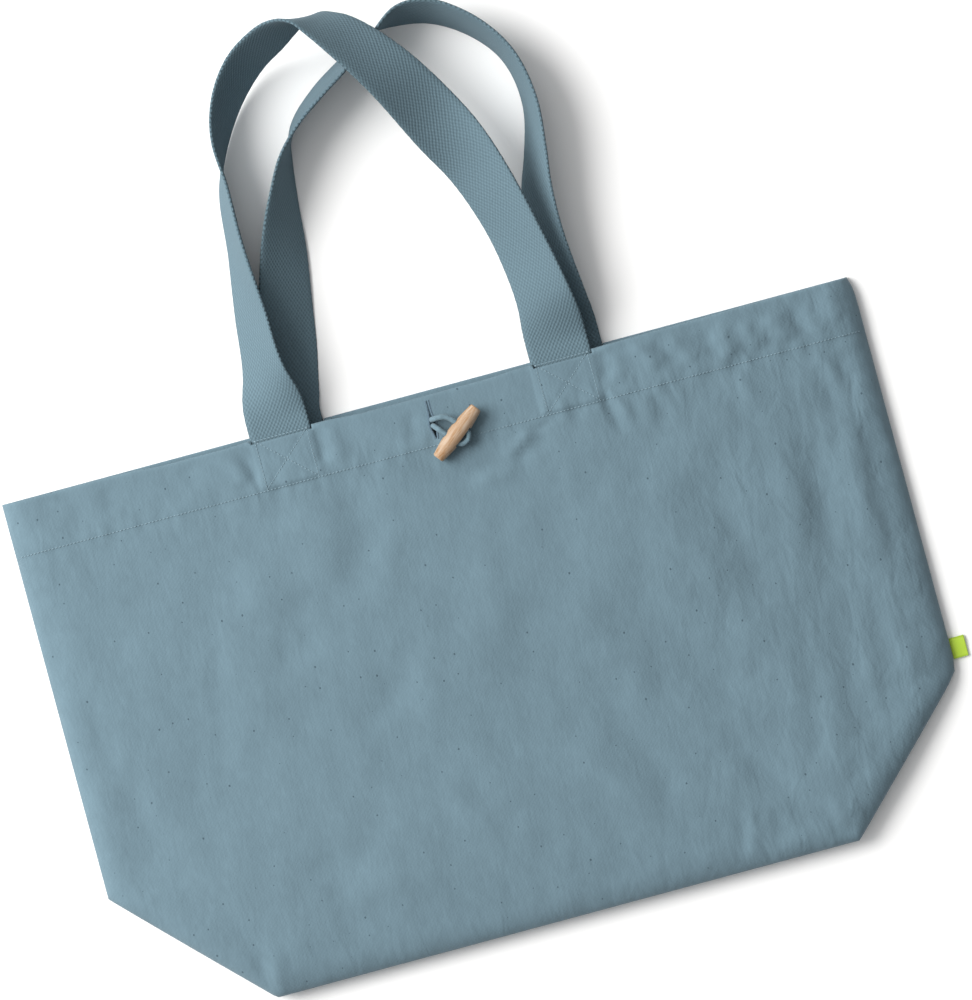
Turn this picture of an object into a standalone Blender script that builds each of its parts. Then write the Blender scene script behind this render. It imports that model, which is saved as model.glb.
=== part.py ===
"""Cotton canvas bag with two webbing handles and a toggle, lying on its back.

Metres. +Z is up out of the surface that the bag lies on, +X runs across the bag
and +Y runs from the base to the mouth and the handles. The origin is the middle
of the flat back panel, on its underside. Places down the bag are measured from
the mouth and are called down here.
"""
import math

import bmesh
import bpy
from mathutils import Matrix, Vector

# The bag
BAG_WIDTH = 0.540
BAG_HEIGHT = 0.336
BASE_DEPTH = 0.170       # depth of the opened base, half of it is folded inwards
CANVAS = 0.0012
GAP = 0.0003

# How the front panel stands over the back one
GROOVE = 0.0051          # open groove between the two bottom folds
GROOVE_END = 0.2         # radius of its rounded inner end, as a share of its height
SKIRT = 0.0020           # upright part of the front panel's rim
EDGE_ROUND = 0.016       # how far in from the rim the rounding reaches
EDGE_RISE = 0.0085
DOME = 0.0145            # rise of the middle over the rounded edge
MOUTH_RECESS = 0.0020    # the arched front hem sits this much below the back one
FOLD_WIDTH = 0.024
FOLD_LIFT = 0.0030

# The hem round the mouth, and the buttonhole slit through it
HEM_DEPTH = 0.035
HEM_START = 0.0015
HEM_SIDE = 0.020
POCKET_ROOM = 0.002      # the hem stays clear this far beside a handle's foot
POCKET_STEP = 0.008
SLIT_ACROSS = -0.0012
SLIT_DOWN = 0.0185
SLIT_LENGTH = 0.024
SLIT_WIDTH = 0.0048

# The webbing handles
STRAP_WIDTH = 0.038
STRAP_THICK = 0.0020
STRAP_TAIL = 0.033
STRAP_SPACING = 0.178
STRAP_RISE = 0.245
FRONT_SHIFT = -0.004
BACK_SHIFT = 0.004
STRAP_STRAIGHT = 0.006   # flat stretch just outside the mouth

# The wooden toggle and the cord that it is threaded on
TOGGLE_LENGTH = 0.039
TOGGLE_MIDDLE = 0.011
TOGGLE_END = 0.0074
TOGGLE_ROUND = 0.0006    # rounding of its two ends
TOGGLE_HOLE = 0.0047
HOLE_SPACING = 0.0095
SCOOP_RADIUS = 0.0032
SCOOP_FLOOR = 0.0030     # from the toggle's axis to the floor of the scoop
TOGGLE_ACROSS = 0.0116
TOGGLE_DOWN = 0.0304
TOGGLE_TURN = math.radians(38)
CORD = 0.0034
CORD_PITCH = 0.0039      # the two strands, one above the other in the slit
CORD_BEND = 0.0050
CORD_LEAD = 0.006        # spacing of the cord's points inside the bag
CORD_BOW = 0.0012        # how far the upper strand bows out on its way to the toggle

# The folded tab in the right side seam
LABEL_OUT = 0.0095
LABEL_TALL = 0.013
LABEL_THICK = 0.0012
LABEL_DOWN = 0.2375
LABEL_FOLD = 0.45        # rounding of its folded edge, as a share of its thickness

# How finely the pieces are divided
PANEL_COLUMNS = 22
PANEL_ROWS = 14
COLUMN_APART = 0.004
RIM_STEPS = (1.0, 0.5, 0.134, 0.0)   # shares of EDGE_ROUND, even steps of its round
STRAP_STEP = 0.009       # spacing of the sections along a handle
STRAP_COLUMNS = 4
FOLD_STEPS = 6
BEND_STEPS = 3
TOGGLE_STEPS = 8
TOGGLE_SIDES = 24
CUTTER_SIDES = 16

HALF_WIDTH = BAG_WIDTH / 2
TUCK = BASE_DEPTH / 2
MOUTH_Y = BAG_HEIGHT / 2
SEAM_RIM = CANVAS + GAP
FOLD_RIM = 3 * CANVAS + 2 * GAP + GROOVE

# Rise of the dome down the bag: share of the height, share of the dome
DOME_DOWN = [
    (0.00, 0.66),
    (0.12, 0.80),
    (0.45, 1.00),
    (0.75, 0.72),
    (1.00, 0.00),
]

# Broad folds and dents of the front panel. From and to: across as a share of
# half the width, down as a share of the height. Then the share of FOLD_WIDTH
# and the share of FOLD_LIFT, which is negative for a valley.
FOLDS = [
    (0.62, 0.04, 0.93, 0.20, 0.9, -0.8),
    (0.70, 0.02, 0.96, 0.12, 0.8, 0.7),
    (0.80, 0.30, 0.76, 0.80, 1.0, -0.9),
    (0.88, 0.25, 0.90, 0.70, 0.8, 0.8),
    (0.60, 0.45, 0.66, 0.85, 1.3, 0.6),
    (-0.88, 0.72, -0.70, 0.88, 0.9, -0.9),
    (-0.50, 0.86, -0.46, 0.97, 0.8, -0.7),
    (0.48, 0.84, 0.58, 0.93, 0.9, -0.9),
    (-0.60, 0.22, -0.72, 0.62, 1.5, -0.6),
    (-0.20, 0.35, -0.05, 0.75, 1.8, 0.5),
    (0.18, 0.30, 0.30, 0.62, 1.6, -0.6),
]

# Sections of the front handle between its two feet. Across as a share of half
# the spacing of the feet, up from the mouth as a share of STRAP_RISE, height of
# the middle as a share of STRAP_WIDTH, then the plan direction and the tilt in
# degrees of the line from its outer edge to its inner edge.
FRONT_STRAP = [
    (-0.995, 0.147, 0.52, -1, 44),
    (-0.979, 0.297, 0.48, 0, 60),
    (-0.962, 0.437, 0.50, -1, 72),
    (-0.927, 0.629, 0.52, -6, 83),
    (-0.875, 0.731, 0.52, -17, 102),
    (-0.806, 0.792, 0.51, -18, 112),
    (-0.694, 0.855, 0.53, -22, 121),
    (-0.555, 0.907, 0.60, -26, 126),
    (-0.410, 0.939, 0.76, -28, 127),
    (-0.270, 0.963, 0.96, -23, 121),
    (-0.175, 0.970, 1.13, -8, 116),
    (-0.085, 0.966, 1.24, 11, 120),
    (0.005, 0.943, 1.31, 20, 129),
    (0.194, 0.869, 1.36, 28, 144),
    (0.323, 0.806, 1.33, 29, 153),
    (0.601, 0.635, 1.01, 29, 180),
    (0.754, 0.525, 0.88, 24, 205),
    (0.868, 0.402, 0.82, 18, 215),
    (0.946, 0.275, 0.76, 13, 217),
    (0.993, 0.151, 0.71, 8, 208),
]

# The same for the back handle, with the line from its inner edge to its outer.
BACK_STRAP = [
    (-0.970, 0.072, 0.12, 177, 9),
    (-0.896, 0.180, 0.18, 174, 18),
    (-0.814, 0.314, 0.31, 171, 33),
    (-0.724, 0.445, 0.40, 170, 47),
    (-0.645, 0.551, 0.48, 165, 64),
    (-0.559, 0.646, 0.52, 160, 80),
    (-0.468, 0.708, 0.525, 128, 95),
    (-0.229, 0.785, 0.52, 126, 103),
    (-0.044, 0.828, 0.52, 121, 103),
    (0.107, 0.863, 0.52, 120, 100),
    (0.268, 0.899, 0.525, 100, 93),
    (0.439, 0.921, 0.51, 76, 76),
    (0.619, 0.914, 0.50, 66, 72),
    (0.832, 0.871, 0.51, 46, 74),
    (1.080, 0.767, 0.52, 24, 79),
    (1.157, 0.636, 0.52, 6, 78),
    (1.104, 0.504, 0.50, -4, 70),
    (1.056, 0.432, 0.475, -4, 64),
    (1.010, 0.291, 0.42, 0, 52),
    (1.002, 0.139, 0.28, -1, 30),
]


def clamp(value, low, high):
    return max(low, min(high, value))


def smooth_step(value):
    value = clamp(value, 0.0, 1.0)
    return value * value * (3 - 2 * value)


def from_table(table, place):
    """Smooth value between the rows of a two column table."""
    for (start, low), (end, high) in zip(table, table[1:]):
        if place <= end:
            return low + (high - low) * smooth_step((place - start) / (end - start))
    return table[-1][1]


def bottom_of(x):
    """How far down the folded outline reaches at x: straight, then slanted."""
    return min(BAG_HEIGHT, BAG_HEIGHT - TUCK + HALF_WIDTH - abs(x))


def rim_distance(x, down):
    """Distance in from the side seams, the slanted corners and the bottom fold."""
    side = HALF_WIDTH - abs(x)
    bottom = BAG_HEIGHT - down
    slant = (side + bottom - TUCK) / math.sqrt(2)
    return max(0.0, min(side, bottom, slant))


def rim_height(down):
    """The front panel's rim: on the back panel at the seams, up on the base folds."""
    share = clamp((down - BAG_HEIGHT + TUCK) / TUCK, 0.0, 1.0)
    return SEAM_RIM + (FOLD_RIM - SEAM_RIM) * math.sqrt(share)


def fold_height(x, down):
    """Sum of the broad folds and dents, fading out at the rim."""
    total = 0.0
    for across_a, down_a, across_b, down_b, width, lift in FOLDS:
        start = Vector((across_a * HALF_WIDTH, down_a * BAG_HEIGHT))
        run = Vector((across_b * HALF_WIDTH, down_b * BAG_HEIGHT)) - start
        offset = Vector((x, down)) - start
        along = clamp(offset.dot(run) / run.length_squared, 0.0, 1.0)
        away = (offset - run * along).length / (width * FOLD_WIDTH)
        total += lift * FOLD_LIFT * math.exp(-away * away * 4)
    return total * smooth_step(rim_distance(x, down) / EDGE_ROUND)


def front_height(x, down):
    """Height of the front panel's outer face."""
    inward = clamp(rim_distance(x, down) / EDGE_ROUND, 0.0, 1.0)
    rounding = EDGE_RISE * math.sqrt(1 - (1 - inward) ** 2)
    arch = 1 - (x / HALF_WIDTH) ** 2
    dome = DOME * arch * from_table(DOME_DOWN, down / BAG_HEIGHT)
    return rim_height(down) + SKIRT + rounding + dome + fold_height(x, down)


def mouth_down(x):
    """The front panel's top edge, a little lower in the middle."""
    return MOUTH_RECESS * (1 - (x / HALF_WIDTH) ** 2)


def between(start, end, count):
    return [start + (end - start) * index / count for index in range(1, count)]


def thinned(places, apart):
    """Places in order, without those that nearly repeat the one before."""
    kept = []
    for place in sorted(places):
        if not kept or place - kept[-1] > apart:
            kept.append(place)
    return kept


def panel_columns(count):
    """Places across the bag, closer together at the sides and the handles' feet."""
    edge = [HALF_WIDTH - share * EDGE_ROUND for share in RIM_STEPS]
    hem_end = HALF_WIDTH - HEM_SIDE
    corner = HALF_WIDTH - TUCK
    places = between(-hem_end, hem_end, count) + pocket_edges(FRONT_SHIFT)
    middle = thinned([x for x in places if abs(abs(x) - corner) > COLUMN_APART], COLUMN_APART)
    fixed = edge + [corner, hem_end]
    return sorted([-x for x in fixed] + middle + fixed)


def hem_rows(top):
    return [top] + between(top, HEM_DEPTH, 3) + [HEM_DEPTH]


def panel_rows(x, count):
    """Places down the front panel at x, closer together at the hem and the fold."""
    slant = math.sqrt(2) if abs(x) > HALF_WIDTH - TUCK else 1.0
    bottom = bottom_of(x)
    reach = EDGE_ROUND * slant
    rows = hem_rows(mouth_down(x)) + between(HEM_DEPTH, bottom - reach, count)
    return rows + [bottom - reach * share for share in RIM_STEPS]


def material(name, colour, roughness):
    made = bpy.data.materials.new(name)
    made.use_nodes = True
    shader = made.node_tree.nodes["Principled BSDF"]
    shader.inputs["Base Color"].default_value = (*colour, 1.0)
    shader.inputs["Roughness"].default_value = roughness
    shader.inputs["Metallic"].default_value = 0.0
    return made


def add_object(name, mesh, collection, finish):
    made = bpy.data.objects.new(name, mesh)
    collection.objects.link(made)
    mesh.materials.append(finish)
    mesh.shade_smooth()
    mesh.set_sharp_from_angle(angle=math.radians(40))
    return made


def sheet_mesh(lines):
    """Open sheet through lines of points, all of the same length."""
    shape = bmesh.new()
    grid = [[shape.verts.new(point) for point in line] for line in lines]
    for line, following in zip(grid, grid[1:]):
        for index in range(len(line) - 1):
            corners = (line[index], line[index + 1], following[index + 1], following[index])
            shape.faces.new(corners)
    return shape


def finish_mesh(shape, name):
    mesh = bpy.data.meshes.new(name)
    shape.to_mesh(mesh)
    shape.free()
    return mesh


def solidify(thing, thickness):
    """Give a sheet its wall on the side away from its normals."""
    wall = thing.modifiers.new("wall", "SOLIDIFY")
    wall.thickness = thickness
    wall.offset = -1.0
    wall.use_even_offset = True


def ring_loft(name, rings):
    """Closed skin over rings of points, with a cap at each end."""
    shape = bmesh.new()
    grid = [[shape.verts.new(point) for point in ring] for ring in rings]
    size = len(grid[0])
    for ring, following in zip(grid, grid[1:]):
        for index in range(size):
            after = (index + 1) % size
            shape.faces.new((ring[index], ring[after], following[after], following[index]))
    shape.faces.new(grid[0])
    shape.faces.new(grid[-1])
    bmesh.ops.recalc_face_normals(shape, faces=shape.faces[:])
    return finish_mesh(shape, name)


def make_front_panel(parts, canvas):
    """One crowned sheet with a rounded, upright rim on all sides but the mouth."""
    lines = []
    for x in panel_columns(PANEL_COLUMNS):
        places = panel_rows(x, PANEL_ROWS)
        lines.append([(x, MOUTH_Y - down, front_height(x, down)) for down in places])
    shape = sheet_mesh(lines)
    mouth = {line[0][:2] for line in lines}

    def at_mouth(vert):
        return any(abs(vert.co.x - x) < GAP / 3 and abs(vert.co.y - y) < GAP / 3 for x, y in mouth)

    rim = [edge for edge in shape.edges
           if edge.is_boundary and not all(at_mouth(vert) for vert in edge.verts)]
    skirt = bmesh.ops.extrude_edge_only(shape, edges=rim)["geom"]
    for vert in (item for item in skirt if isinstance(item, bmesh.types.BMVert)):
        vert.co.z = rim_height(MOUTH_Y - vert.co.y)
    bmesh.ops.recalc_face_normals(shape, faces=shape.faces[:])
    shape.faces.ensure_lookup_table()
    middle = max(shape.faces, key=lambda face: face.calc_center_median().z)
    if middle.normal.z < 0:
        bmesh.ops.reverse_faces(shape, faces=shape.faces[:])
    panel = add_object("front_panel", finish_mesh(shape, "front_panel"), parts, canvas)
    solidify(panel, CANVAS)
    return panel


def make_back_panel(parts, canvas):
    """The flat panel that the bag lies on, cut to the folded outline."""
    corner = HALF_WIDTH - TUCK
    side = BAG_HEIGHT - TUCK
    outline = [(-HALF_WIDTH, 0.0), (-HALF_WIDTH, side), (-corner, BAG_HEIGHT),
               (corner, BAG_HEIGHT), (HALF_WIDTH, side), (HALF_WIDTH, 0.0)]
    shape = bmesh.new()
    verts = [shape.verts.new((x, MOUTH_Y - down, CANVAS)) for x, down in outline]
    shape.faces.new(verts)
    panel = add_object("back_panel", finish_mesh(shape, "back_panel"), parts, canvas)
    solidify(panel, CANVAS)
    return panel


def base_section(x):
    """Hairpin section of the folded base at x, as places down and heights."""
    lip = bottom_of(x)
    front_top = rim_height(lip) - GAP
    front_low = front_top - CANVAS
    back_low = CANVAS + GAP
    back_top = back_low + CANVAS
    middle = (front_low + back_top) / 2
    inner = (front_low - back_top) * GROOVE_END
    outer = inner + CANVAS
    ridge = BAG_HEIGHT - TUCK + outer
    turns = [math.pi * (0.5 - step / FOLD_STEPS) for step in range(FOLD_STEPS + 1)]
    groove = [(lip, front_low)]
    groove += [(ridge - inner * math.cos(turn), middle + inner * math.sin(turn)) for turn in turns]
    groove += [(lip, back_top)]
    bag = [(lip, back_low)]
    bag += [(ridge - outer * math.cos(turn), middle + outer * math.sin(turn))
            for turn in reversed(turns)]
    bag += [(lip, front_top)]
    return groove + bag


def make_base(parts, canvas):
    """The base, folded inwards between the panels along its middle.

    It ends short of the side seams, where the front panel's rim has risen just
    enough to hold its two layers.
    """
    layers = 2 * CANVAS + 2.5 * GAP
    start = TUCK * (layers / (FOLD_RIM - SEAM_RIM)) ** 2
    reach = HALF_WIDTH - start
    corner = HALF_WIDTH - TUCK
    half = [corner / 2, corner] + between(corner, reach, 6) + [reach]
    places = [-x for x in reversed(half)] + [0.0] + half
    rings = []
    for x in places:
        rings.append([(x, MOUTH_Y - down, height) for down, height in base_section(x)])
    return add_object("base_gusset", ring_loft("base_gusset", rings), parts, canvas)


def strap_pocket(x, shift):
    """1 where a handle's foot lies under the hem, 0 away from it."""
    away = min(abs(x - shift - side * STRAP_SPACING / 2) for side in (-1, 1))
    return 1 - smooth_step((away - STRAP_WIDTH / 2 - POCKET_ROOM) / POCKET_STEP)


def pocket_edges(shift):
    """Places across the hem where it steps over the handle's feet."""
    places = []
    for side in (-1, 1):
        middle = shift + side * STRAP_SPACING / 2
        for out in (0.0, 0.5, 1.0):
            away = STRAP_WIDTH / 2 + POCKET_ROOM + out * POCKET_STEP
            places += [middle - away, middle + away]
    return places


def make_front_hem(parts, canvas):
    """The turned in hem under the front panel, with the handle's feet between."""
    room = STRAP_THICK + 2 * GAP
    reach = HALF_WIDTH - HEM_SIDE
    lines = []
    for x in (place for place in panel_columns(PANEL_COLUMNS) if abs(place) <= reach):
        drop = CANVAS + 2 * GAP + room * strap_pocket(x, FRONT_SHIFT)
        places = hem_rows(mouth_down(x))
        places[0] += HEM_START
        lines.append([(x, MOUTH_Y - down, front_height(x, down) - drop) for down in places])
    hem = add_object("front_hem", finish_mesh(sheet_mesh(lines), "front_hem"), parts, canvas)
    face_up(hem)
    solidify(hem, CANVAS)
    return hem


def make_back_hem(parts, canvas):
    """The turned in hem on the back panel, over the back handle's feet."""
    room = STRAP_THICK + GAP
    reach = HALF_WIDTH - HEM_SIDE
    lines = []
    for x in sorted([-reach, reach] + pocket_edges(BACK_SHIFT)):
        height = CANVAS + GAP + room * strap_pocket(x, BACK_SHIFT) + CANVAS
        lines.append([(x, MOUTH_Y - down, height) for down in (HEM_DEPTH, HEM_START)])
    hem = add_object("back_hem", finish_mesh(sheet_mesh(lines), "back_hem"), parts, canvas)
    face_up(hem)
    solidify(hem, CANVAS)
    return hem


def face_up(thing):
    """Turn a sheet's faces so that they point up."""
    if thing.data.polygons[0].normal.z < 0:
        thing.data.flip_normals()


def row_gap(rows, index):
    return (Vector(rows[index + 1][:3]) - Vector(rows[index][:3])).length


def row_slope(rows, index):
    """Change per metre along the path at a row, from the rows on both sides."""
    if index in (0, len(rows) - 1):
        start = min(index, len(rows) - 2)
        gap = row_gap(rows, start)
        return [(q - p) / gap for p, q in zip(rows[start], rows[start + 1])]
    back = row_gap(rows, index - 1)
    ahead = row_gap(rows, index)
    slope = []
    for p, q, r in zip(rows[index - 1], rows[index], rows[index + 1]):
        slope.append(((q - p) / back * ahead + (r - q) / ahead * back) / (back + ahead))
    return slope


def smooth_point(rows, index, share):
    """Point between two rows on a smooth curve through all rows."""
    gap = row_gap(rows, index)
    square, cube = share ** 2, share ** 3
    result = []
    for start, end, leave, arrive in zip(rows[index], rows[index + 1], row_slope(rows, index),
                                         row_slope(rows, index + 1)):
        result.append((2 * cube - 3 * square + 1) * start + (3 * square - 2 * cube) * end
                      + gap * ((cube - 2 * square + share) * leave + (cube - square) * arrive))
    return result


def strap_sections(table, shift, foot):
    """All sections of a handle: middle, plan direction and tilt, foot to foot."""
    rows = []
    for across, up, height, turn, tilt in table:
        rows.append((shift + across * STRAP_SPACING / 2, MOUTH_Y + up * STRAP_RISE,
                     height * STRAP_WIDTH, math.radians(turn), math.radians(tilt)))
    left = [foot(shift - STRAP_SPACING / 2, down, table[0][3] < 90) for down in
            (STRAP_TAIL, STRAP_TAIL / 2, 0.0, -STRAP_STRAIGHT / 2, -STRAP_STRAIGHT)]
    right = [foot(shift + STRAP_SPACING / 2, down, None) for down in
             (-STRAP_STRAIGHT, -STRAP_STRAIGHT / 2, 0.0, STRAP_TAIL / 2, STRAP_TAIL)]
    return left + rows + right


def front_foot(x, down, left):
    """Section of the front handle's foot, under the front panel."""
    place = max(down, MOUTH_RECESS)
    half = STRAP_WIDTH / 2
    drop = CANVAS + 2 * GAP + STRAP_THICK / 2
    low = front_height(x - half, place) - drop
    high = front_height(x + half, place) - drop
    tilt = math.atan2(high - low, STRAP_WIDTH)
    slope = (front_height(x, place + STRAP_TAIL / 4) - front_height(x, place)) / (STRAP_TAIL / 4)
    height = (low + high) / 2 + (down - place) * slope * (down < place)
    if left:
        return (x, MOUTH_Y - down, height, 0.0, tilt)
    return (x, MOUTH_Y - down, height, 0.0, math.pi + tilt)


def back_foot(x, down, left):
    """Section of the back handle's foot, flat on the back panel."""
    height = CANVAS + GAP + STRAP_THICK / 2
    return (x, MOUTH_Y - down, height, 0.0 if left is None else math.pi, 0.0)


def make_strap(name, sections, parts, webbing):
    """Flat webbing lofted along its sections."""
    path = []
    for index in range(len(sections) - 1):
        start = Vector(sections[index][:3])
        end = Vector(sections[index + 1][:3])
        steps = max(1, round((end - start).length / STRAP_STEP))
        path += [smooth_point(sections, index, step / steps) for step in range(steps)]
    path.append(list(sections[-1]))
    rings = []
    for index, (x, y, z, turn, tilt) in enumerate(path):
        before = Vector(path[max(index - 1, 0)][:3])
        after = Vector(path[min(index + 1, len(path) - 1)][:3])
        across = Vector((math.cos(tilt) * math.cos(turn), math.cos(tilt) * math.sin(turn),
                         math.sin(tilt)))
        face = (after - before).cross(across).normalized() * STRAP_THICK / 2
        middle = Vector((x, y, z))
        line = [middle + across * STRAP_WIDTH * (place / (STRAP_COLUMNS - 1) - 0.5)
                for place in range(STRAP_COLUMNS)]
        rings.append([point - face for point in line]
                     + [point + face for point in reversed(line)])
    return add_object(name, ring_loft(name, rings), parts, webbing)


def toggle_frame():
    """The toggle's place: local Z along it, local X along its holes."""
    along = Vector((math.cos(TOGGLE_TURN), math.sin(TOGGLE_TURN), 0.0))
    holes = Vector((math.sin(TOGGLE_TURN), -math.cos(TOGGLE_TURN), 0.0))
    up = along.cross(holes)
    height = front_height(TOGGLE_ACROSS, TOGGLE_DOWN) + 2 * GAP + TOGGLE_MIDDLE / 2
    frame = Matrix((holes, up, along)).transposed().to_4x4()
    frame.translation = (TOGGLE_ACROSS, MOUTH_Y - TOGGLE_DOWN, height)
    return frame


def make_toggle(parts, cutters, wood):
    """A turned barrel with two cross holes and a scoop between them."""
    half = TOGGLE_LENGTH / 2
    radius = TOGGLE_END / 2
    shoulder = half - TOGGLE_ROUND
    profile = [(0.0, half), (radius - TOGGLE_ROUND, half), (radius, shoulder)]
    for step in range(1, TOGGLE_STEPS):
        place = 1 - 2 * step / TOGGLE_STEPS
        swell = radius + (TOGGLE_MIDDLE / 2 - radius) * math.cos(place * math.pi / 2)
        profile.append((swell, place * shoulder))
    profile += [(radius, -shoulder), (radius - TOGGLE_ROUND, -half), (0.0, -half)]
    mesh = bpy.data.meshes.new("toggle")
    edges = [(index, index + 1) for index in range(len(profile) - 1)]
    mesh.from_pydata([(x, 0.0, z) for x, z in profile], edges, [])
    toggle = add_object("toggle", mesh, parts, wood)
    turning = toggle.modifiers.new("turning", "SCREW")
    turning.steps = TOGGLE_SIDES
    turning.render_steps = TOGGLE_SIDES
    turning.use_merge_vertices = True
    turning.merge_threshold = 0.00001
    frame = toggle_frame()
    toggle.matrix_world = frame
    sideways = Matrix.Rotation(math.pi / 2, 4, "Y")
    for side in (-1, 1):
        place = frame @ Matrix.Translation((0.0, 0.0, side * HOLE_SPACING / 2)) @ sideways
        cut(toggle, round_cutter("toggle_hole", TOGGLE_HOLE / 2, TOGGLE_MIDDLE * 2, place, cutters))
    place = frame @ Matrix.Translation((SCOOP_FLOOR + SCOOP_RADIUS, 0.0, 0.0))
    scoop = HOLE_SPACING + TOGGLE_HOLE
    cut(toggle, round_cutter("toggle_scoop", SCOOP_RADIUS, scoop, place, cutters))
    return toggle


def round_cutter(name, radius, depth, place, cutters):
    """A cylinder that only cuts."""
    shape = bmesh.new()
    bmesh.ops.create_cone(shape, cap_ends=True, segments=CUTTER_SIDES, radius1=radius,
                          radius2=radius, depth=depth)
    cutter = bpy.data.objects.new(name, finish_mesh(shape, name))
    cutters.objects.link(cutter)
    cutter.matrix_world = place
    cutter.hide_render = True
    cutter.display_type = "WIRE"
    return cutter


def cut(thing, cutter):
    boolean = thing.modifiers.new("cut", "BOOLEAN")
    boolean.operation = "DIFFERENCE"
    boolean.solver = "EXACT"
    boolean.object = cutter


def cut_slit(panels, cutters):
    """The buttonhole: a narrow slit through the front panel and its hem."""
    place = Matrix.Translation((SLIT_ACROSS, MOUTH_Y - SLIT_DOWN, front_height(0.0, SLIT_DOWN)))
    stretch = Matrix.Diagonal((SLIT_WIDTH, SLIT_LENGTH, 1.0, 1.0))
    cutter = round_cutter("slit", 0.5, 4 * STRAP_THICK + 4 * CANVAS, place, cutters)
    cutter.data.transform(stretch)
    for panel in panels:
        cut(panel, cutter)


def cord_route():
    """Points of the cord: up through the slit, round the toggle and down again."""
    frame = toggle_frame()
    foot = 2 * CANVAS + 2 * GAP
    level = frame.translation.z
    first = Vector((SLIT_ACROSS, MOUTH_Y - SLIT_DOWN, 0.0))
    second = first - Vector((0.0, CORD_PITCH, 0.0))
    side = HOLE_SPACING / 2
    entry = -TOGGLE_MIDDLE / 2
    near = frame @ Vector((entry, 0.0, side))
    far = frame @ Vector((entry, 0.0, -side))
    route = [first + Vector((0.0, 0.0, height)) for height in
             (foot, foot + CORD_LEAD, foot + 2 * CORD_LEAD, level - 1.5 * CORD_BEND)]
    route += rising_bend(first, Vector((1.0, 0.0, 0.0)), level)
    lead = first + Vector((CORD_BEND, 0.0, level))
    route.append((lead + near) / 2 + Vector((0.0, CORD_BOW, 0.0)))
    route += [near, frame @ Vector((0.0, 0.0, side))]
    for step in range(2 * BEND_STEPS + 1):
        turn = math.pi * step / (2 * BEND_STEPS)
        route.append(frame @ Vector((SCOOP_FLOOR + side * math.sin(turn), 0.0,
                                     side * math.cos(turn))))
    route += [frame @ Vector((0.0, 0.0, -side)), far]
    heading = (far - second - Vector((0.0, 0.0, level))).normalized()
    route += list(reversed(rising_bend(second, heading, level)))
    route += [second + Vector((0.0, 0.0, height)) for height in
              (level - 1.5 * CORD_BEND, foot + 2 * CORD_LEAD, foot + CORD_LEAD, foot)]
    return route


def rising_bend(base, heading, level):
    """Quarter bend from upright to level, in the heading's direction."""
    points = []
    for step in range(BEND_STEPS + 1):
        turn = math.pi / 2 * step / BEND_STEPS
        out = CORD_BEND * (1 - math.cos(turn))
        up = level - CORD_BEND * (1 - math.sin(turn))
        points.append(base + heading * out + Vector((0.0, 0.0, up)))
    return points


def make_cord(parts, cotton):
    """The toggle's cord as a round tube through its route."""
    route = [tuple(point) for point in cord_route()]
    path = []
    for index in range(len(route) - 1):
        path += [smooth_point(route, index, share) for share in (0.0, 0.5)]
    path.append(list(route[-1]))
    curve = bpy.data.curves.new("toggle_loop", "CURVE")
    curve.dimensions = "3D"
    curve.bevel_depth = CORD / 2
    curve.bevel_resolution = 2
    curve.use_fill_caps = True
    spline = curve.splines.new("POLY")
    spline.points.add(len(path) - 1)
    for point, place in zip(spline.points, path):
        point.co = (*place, 1.0)
    cord = bpy.data.objects.new("toggle_loop", curve)
    parts.objects.link(cord)
    curve.materials.append(cotton)
    return cord


def make_label(parts, ribbon):
    """Small folded tab standing out of the right side seam."""
    shape = bmesh.new()
    bmesh.ops.create_cube(shape, size=1.0)
    bmesh.ops.scale(shape, verts=shape.verts, vec=(LABEL_OUT, LABEL_TALL, LABEL_THICK))
    middle = (HALF_WIDTH + GAP + LABEL_OUT / 2, MOUTH_Y - LABEL_DOWN, SEAM_RIM)
    bmesh.ops.translate(shape, verts=shape.verts, vec=middle)
    fold = [edge for edge in shape.edges if all(vert.co.x > HALF_WIDTH + LABEL_OUT / 2
                                                for vert in edge.verts)
            and abs(edge.verts[0].co.y - edge.verts[1].co.y) > LABEL_TALL / 2]
    bmesh.ops.bevel(shape, geom=fold, offset=LABEL_THICK * LABEL_FOLD, segments=3,
                    profile=0.5, affect="EDGES")
    return add_object("side_label", finish_mesh(shape, "side_label"), parts, ribbon)


def main():
    for thing in list(bpy.data.objects):
        bpy.data.objects.remove(thing, do_unlink=True)
    parts = bpy.data.collections.new("cotton_bag")
    cutters = bpy.data.collections.new("cutters")
    bpy.context.scene.collection.children.link(parts)
    bpy.context.scene.collection.children.link(cutters)

    canvas = material("blue_grey_canvas", (0.184, 0.270, 0.320), 0.90)
    webbing = material("blue_grey_webbing", (0.170, 0.250, 0.300), 0.88)
    cotton = material("blue_grey_cord", (0.150, 0.225, 0.270), 0.90)
    wood = material("pale_wood", (0.600, 0.410, 0.240), 0.50)
    ribbon = material("green_ribbon", (0.320, 0.520, 0.030), 0.70)

    front_panel = make_front_panel(parts, canvas)
    make_back_panel(parts, canvas)
    make_base(parts, canvas)
    front_hem = make_front_hem(parts, canvas)
    make_back_hem(parts, canvas)
    cut_slit((front_panel, front_hem), cutters)
    make_strap("front_handle", strap_sections(FRONT_STRAP, FRONT_SHIFT, front_foot), parts, webbing)
    make_strap("back_handle", strap_sections(BACK_STRAP, BACK_SHIFT, back_foot), parts, webbing)
    make_toggle(parts, cutters, wood)
    make_cord(parts, cotton)
    make_label(parts, ribbon)


main()
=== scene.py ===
"""Looks of the cotton bag: cloth, webbing, stitches, cord and toggle, with light and camera.

Metres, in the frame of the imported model: +Z up out of the floor, +X across the bag and
+Y towards its mouth and handles. A place called down is measured from the mouth towards
the folded base.
"""
import math

import bmesh
import bpy
from mathutils import Matrix, Vector, noise

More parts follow.
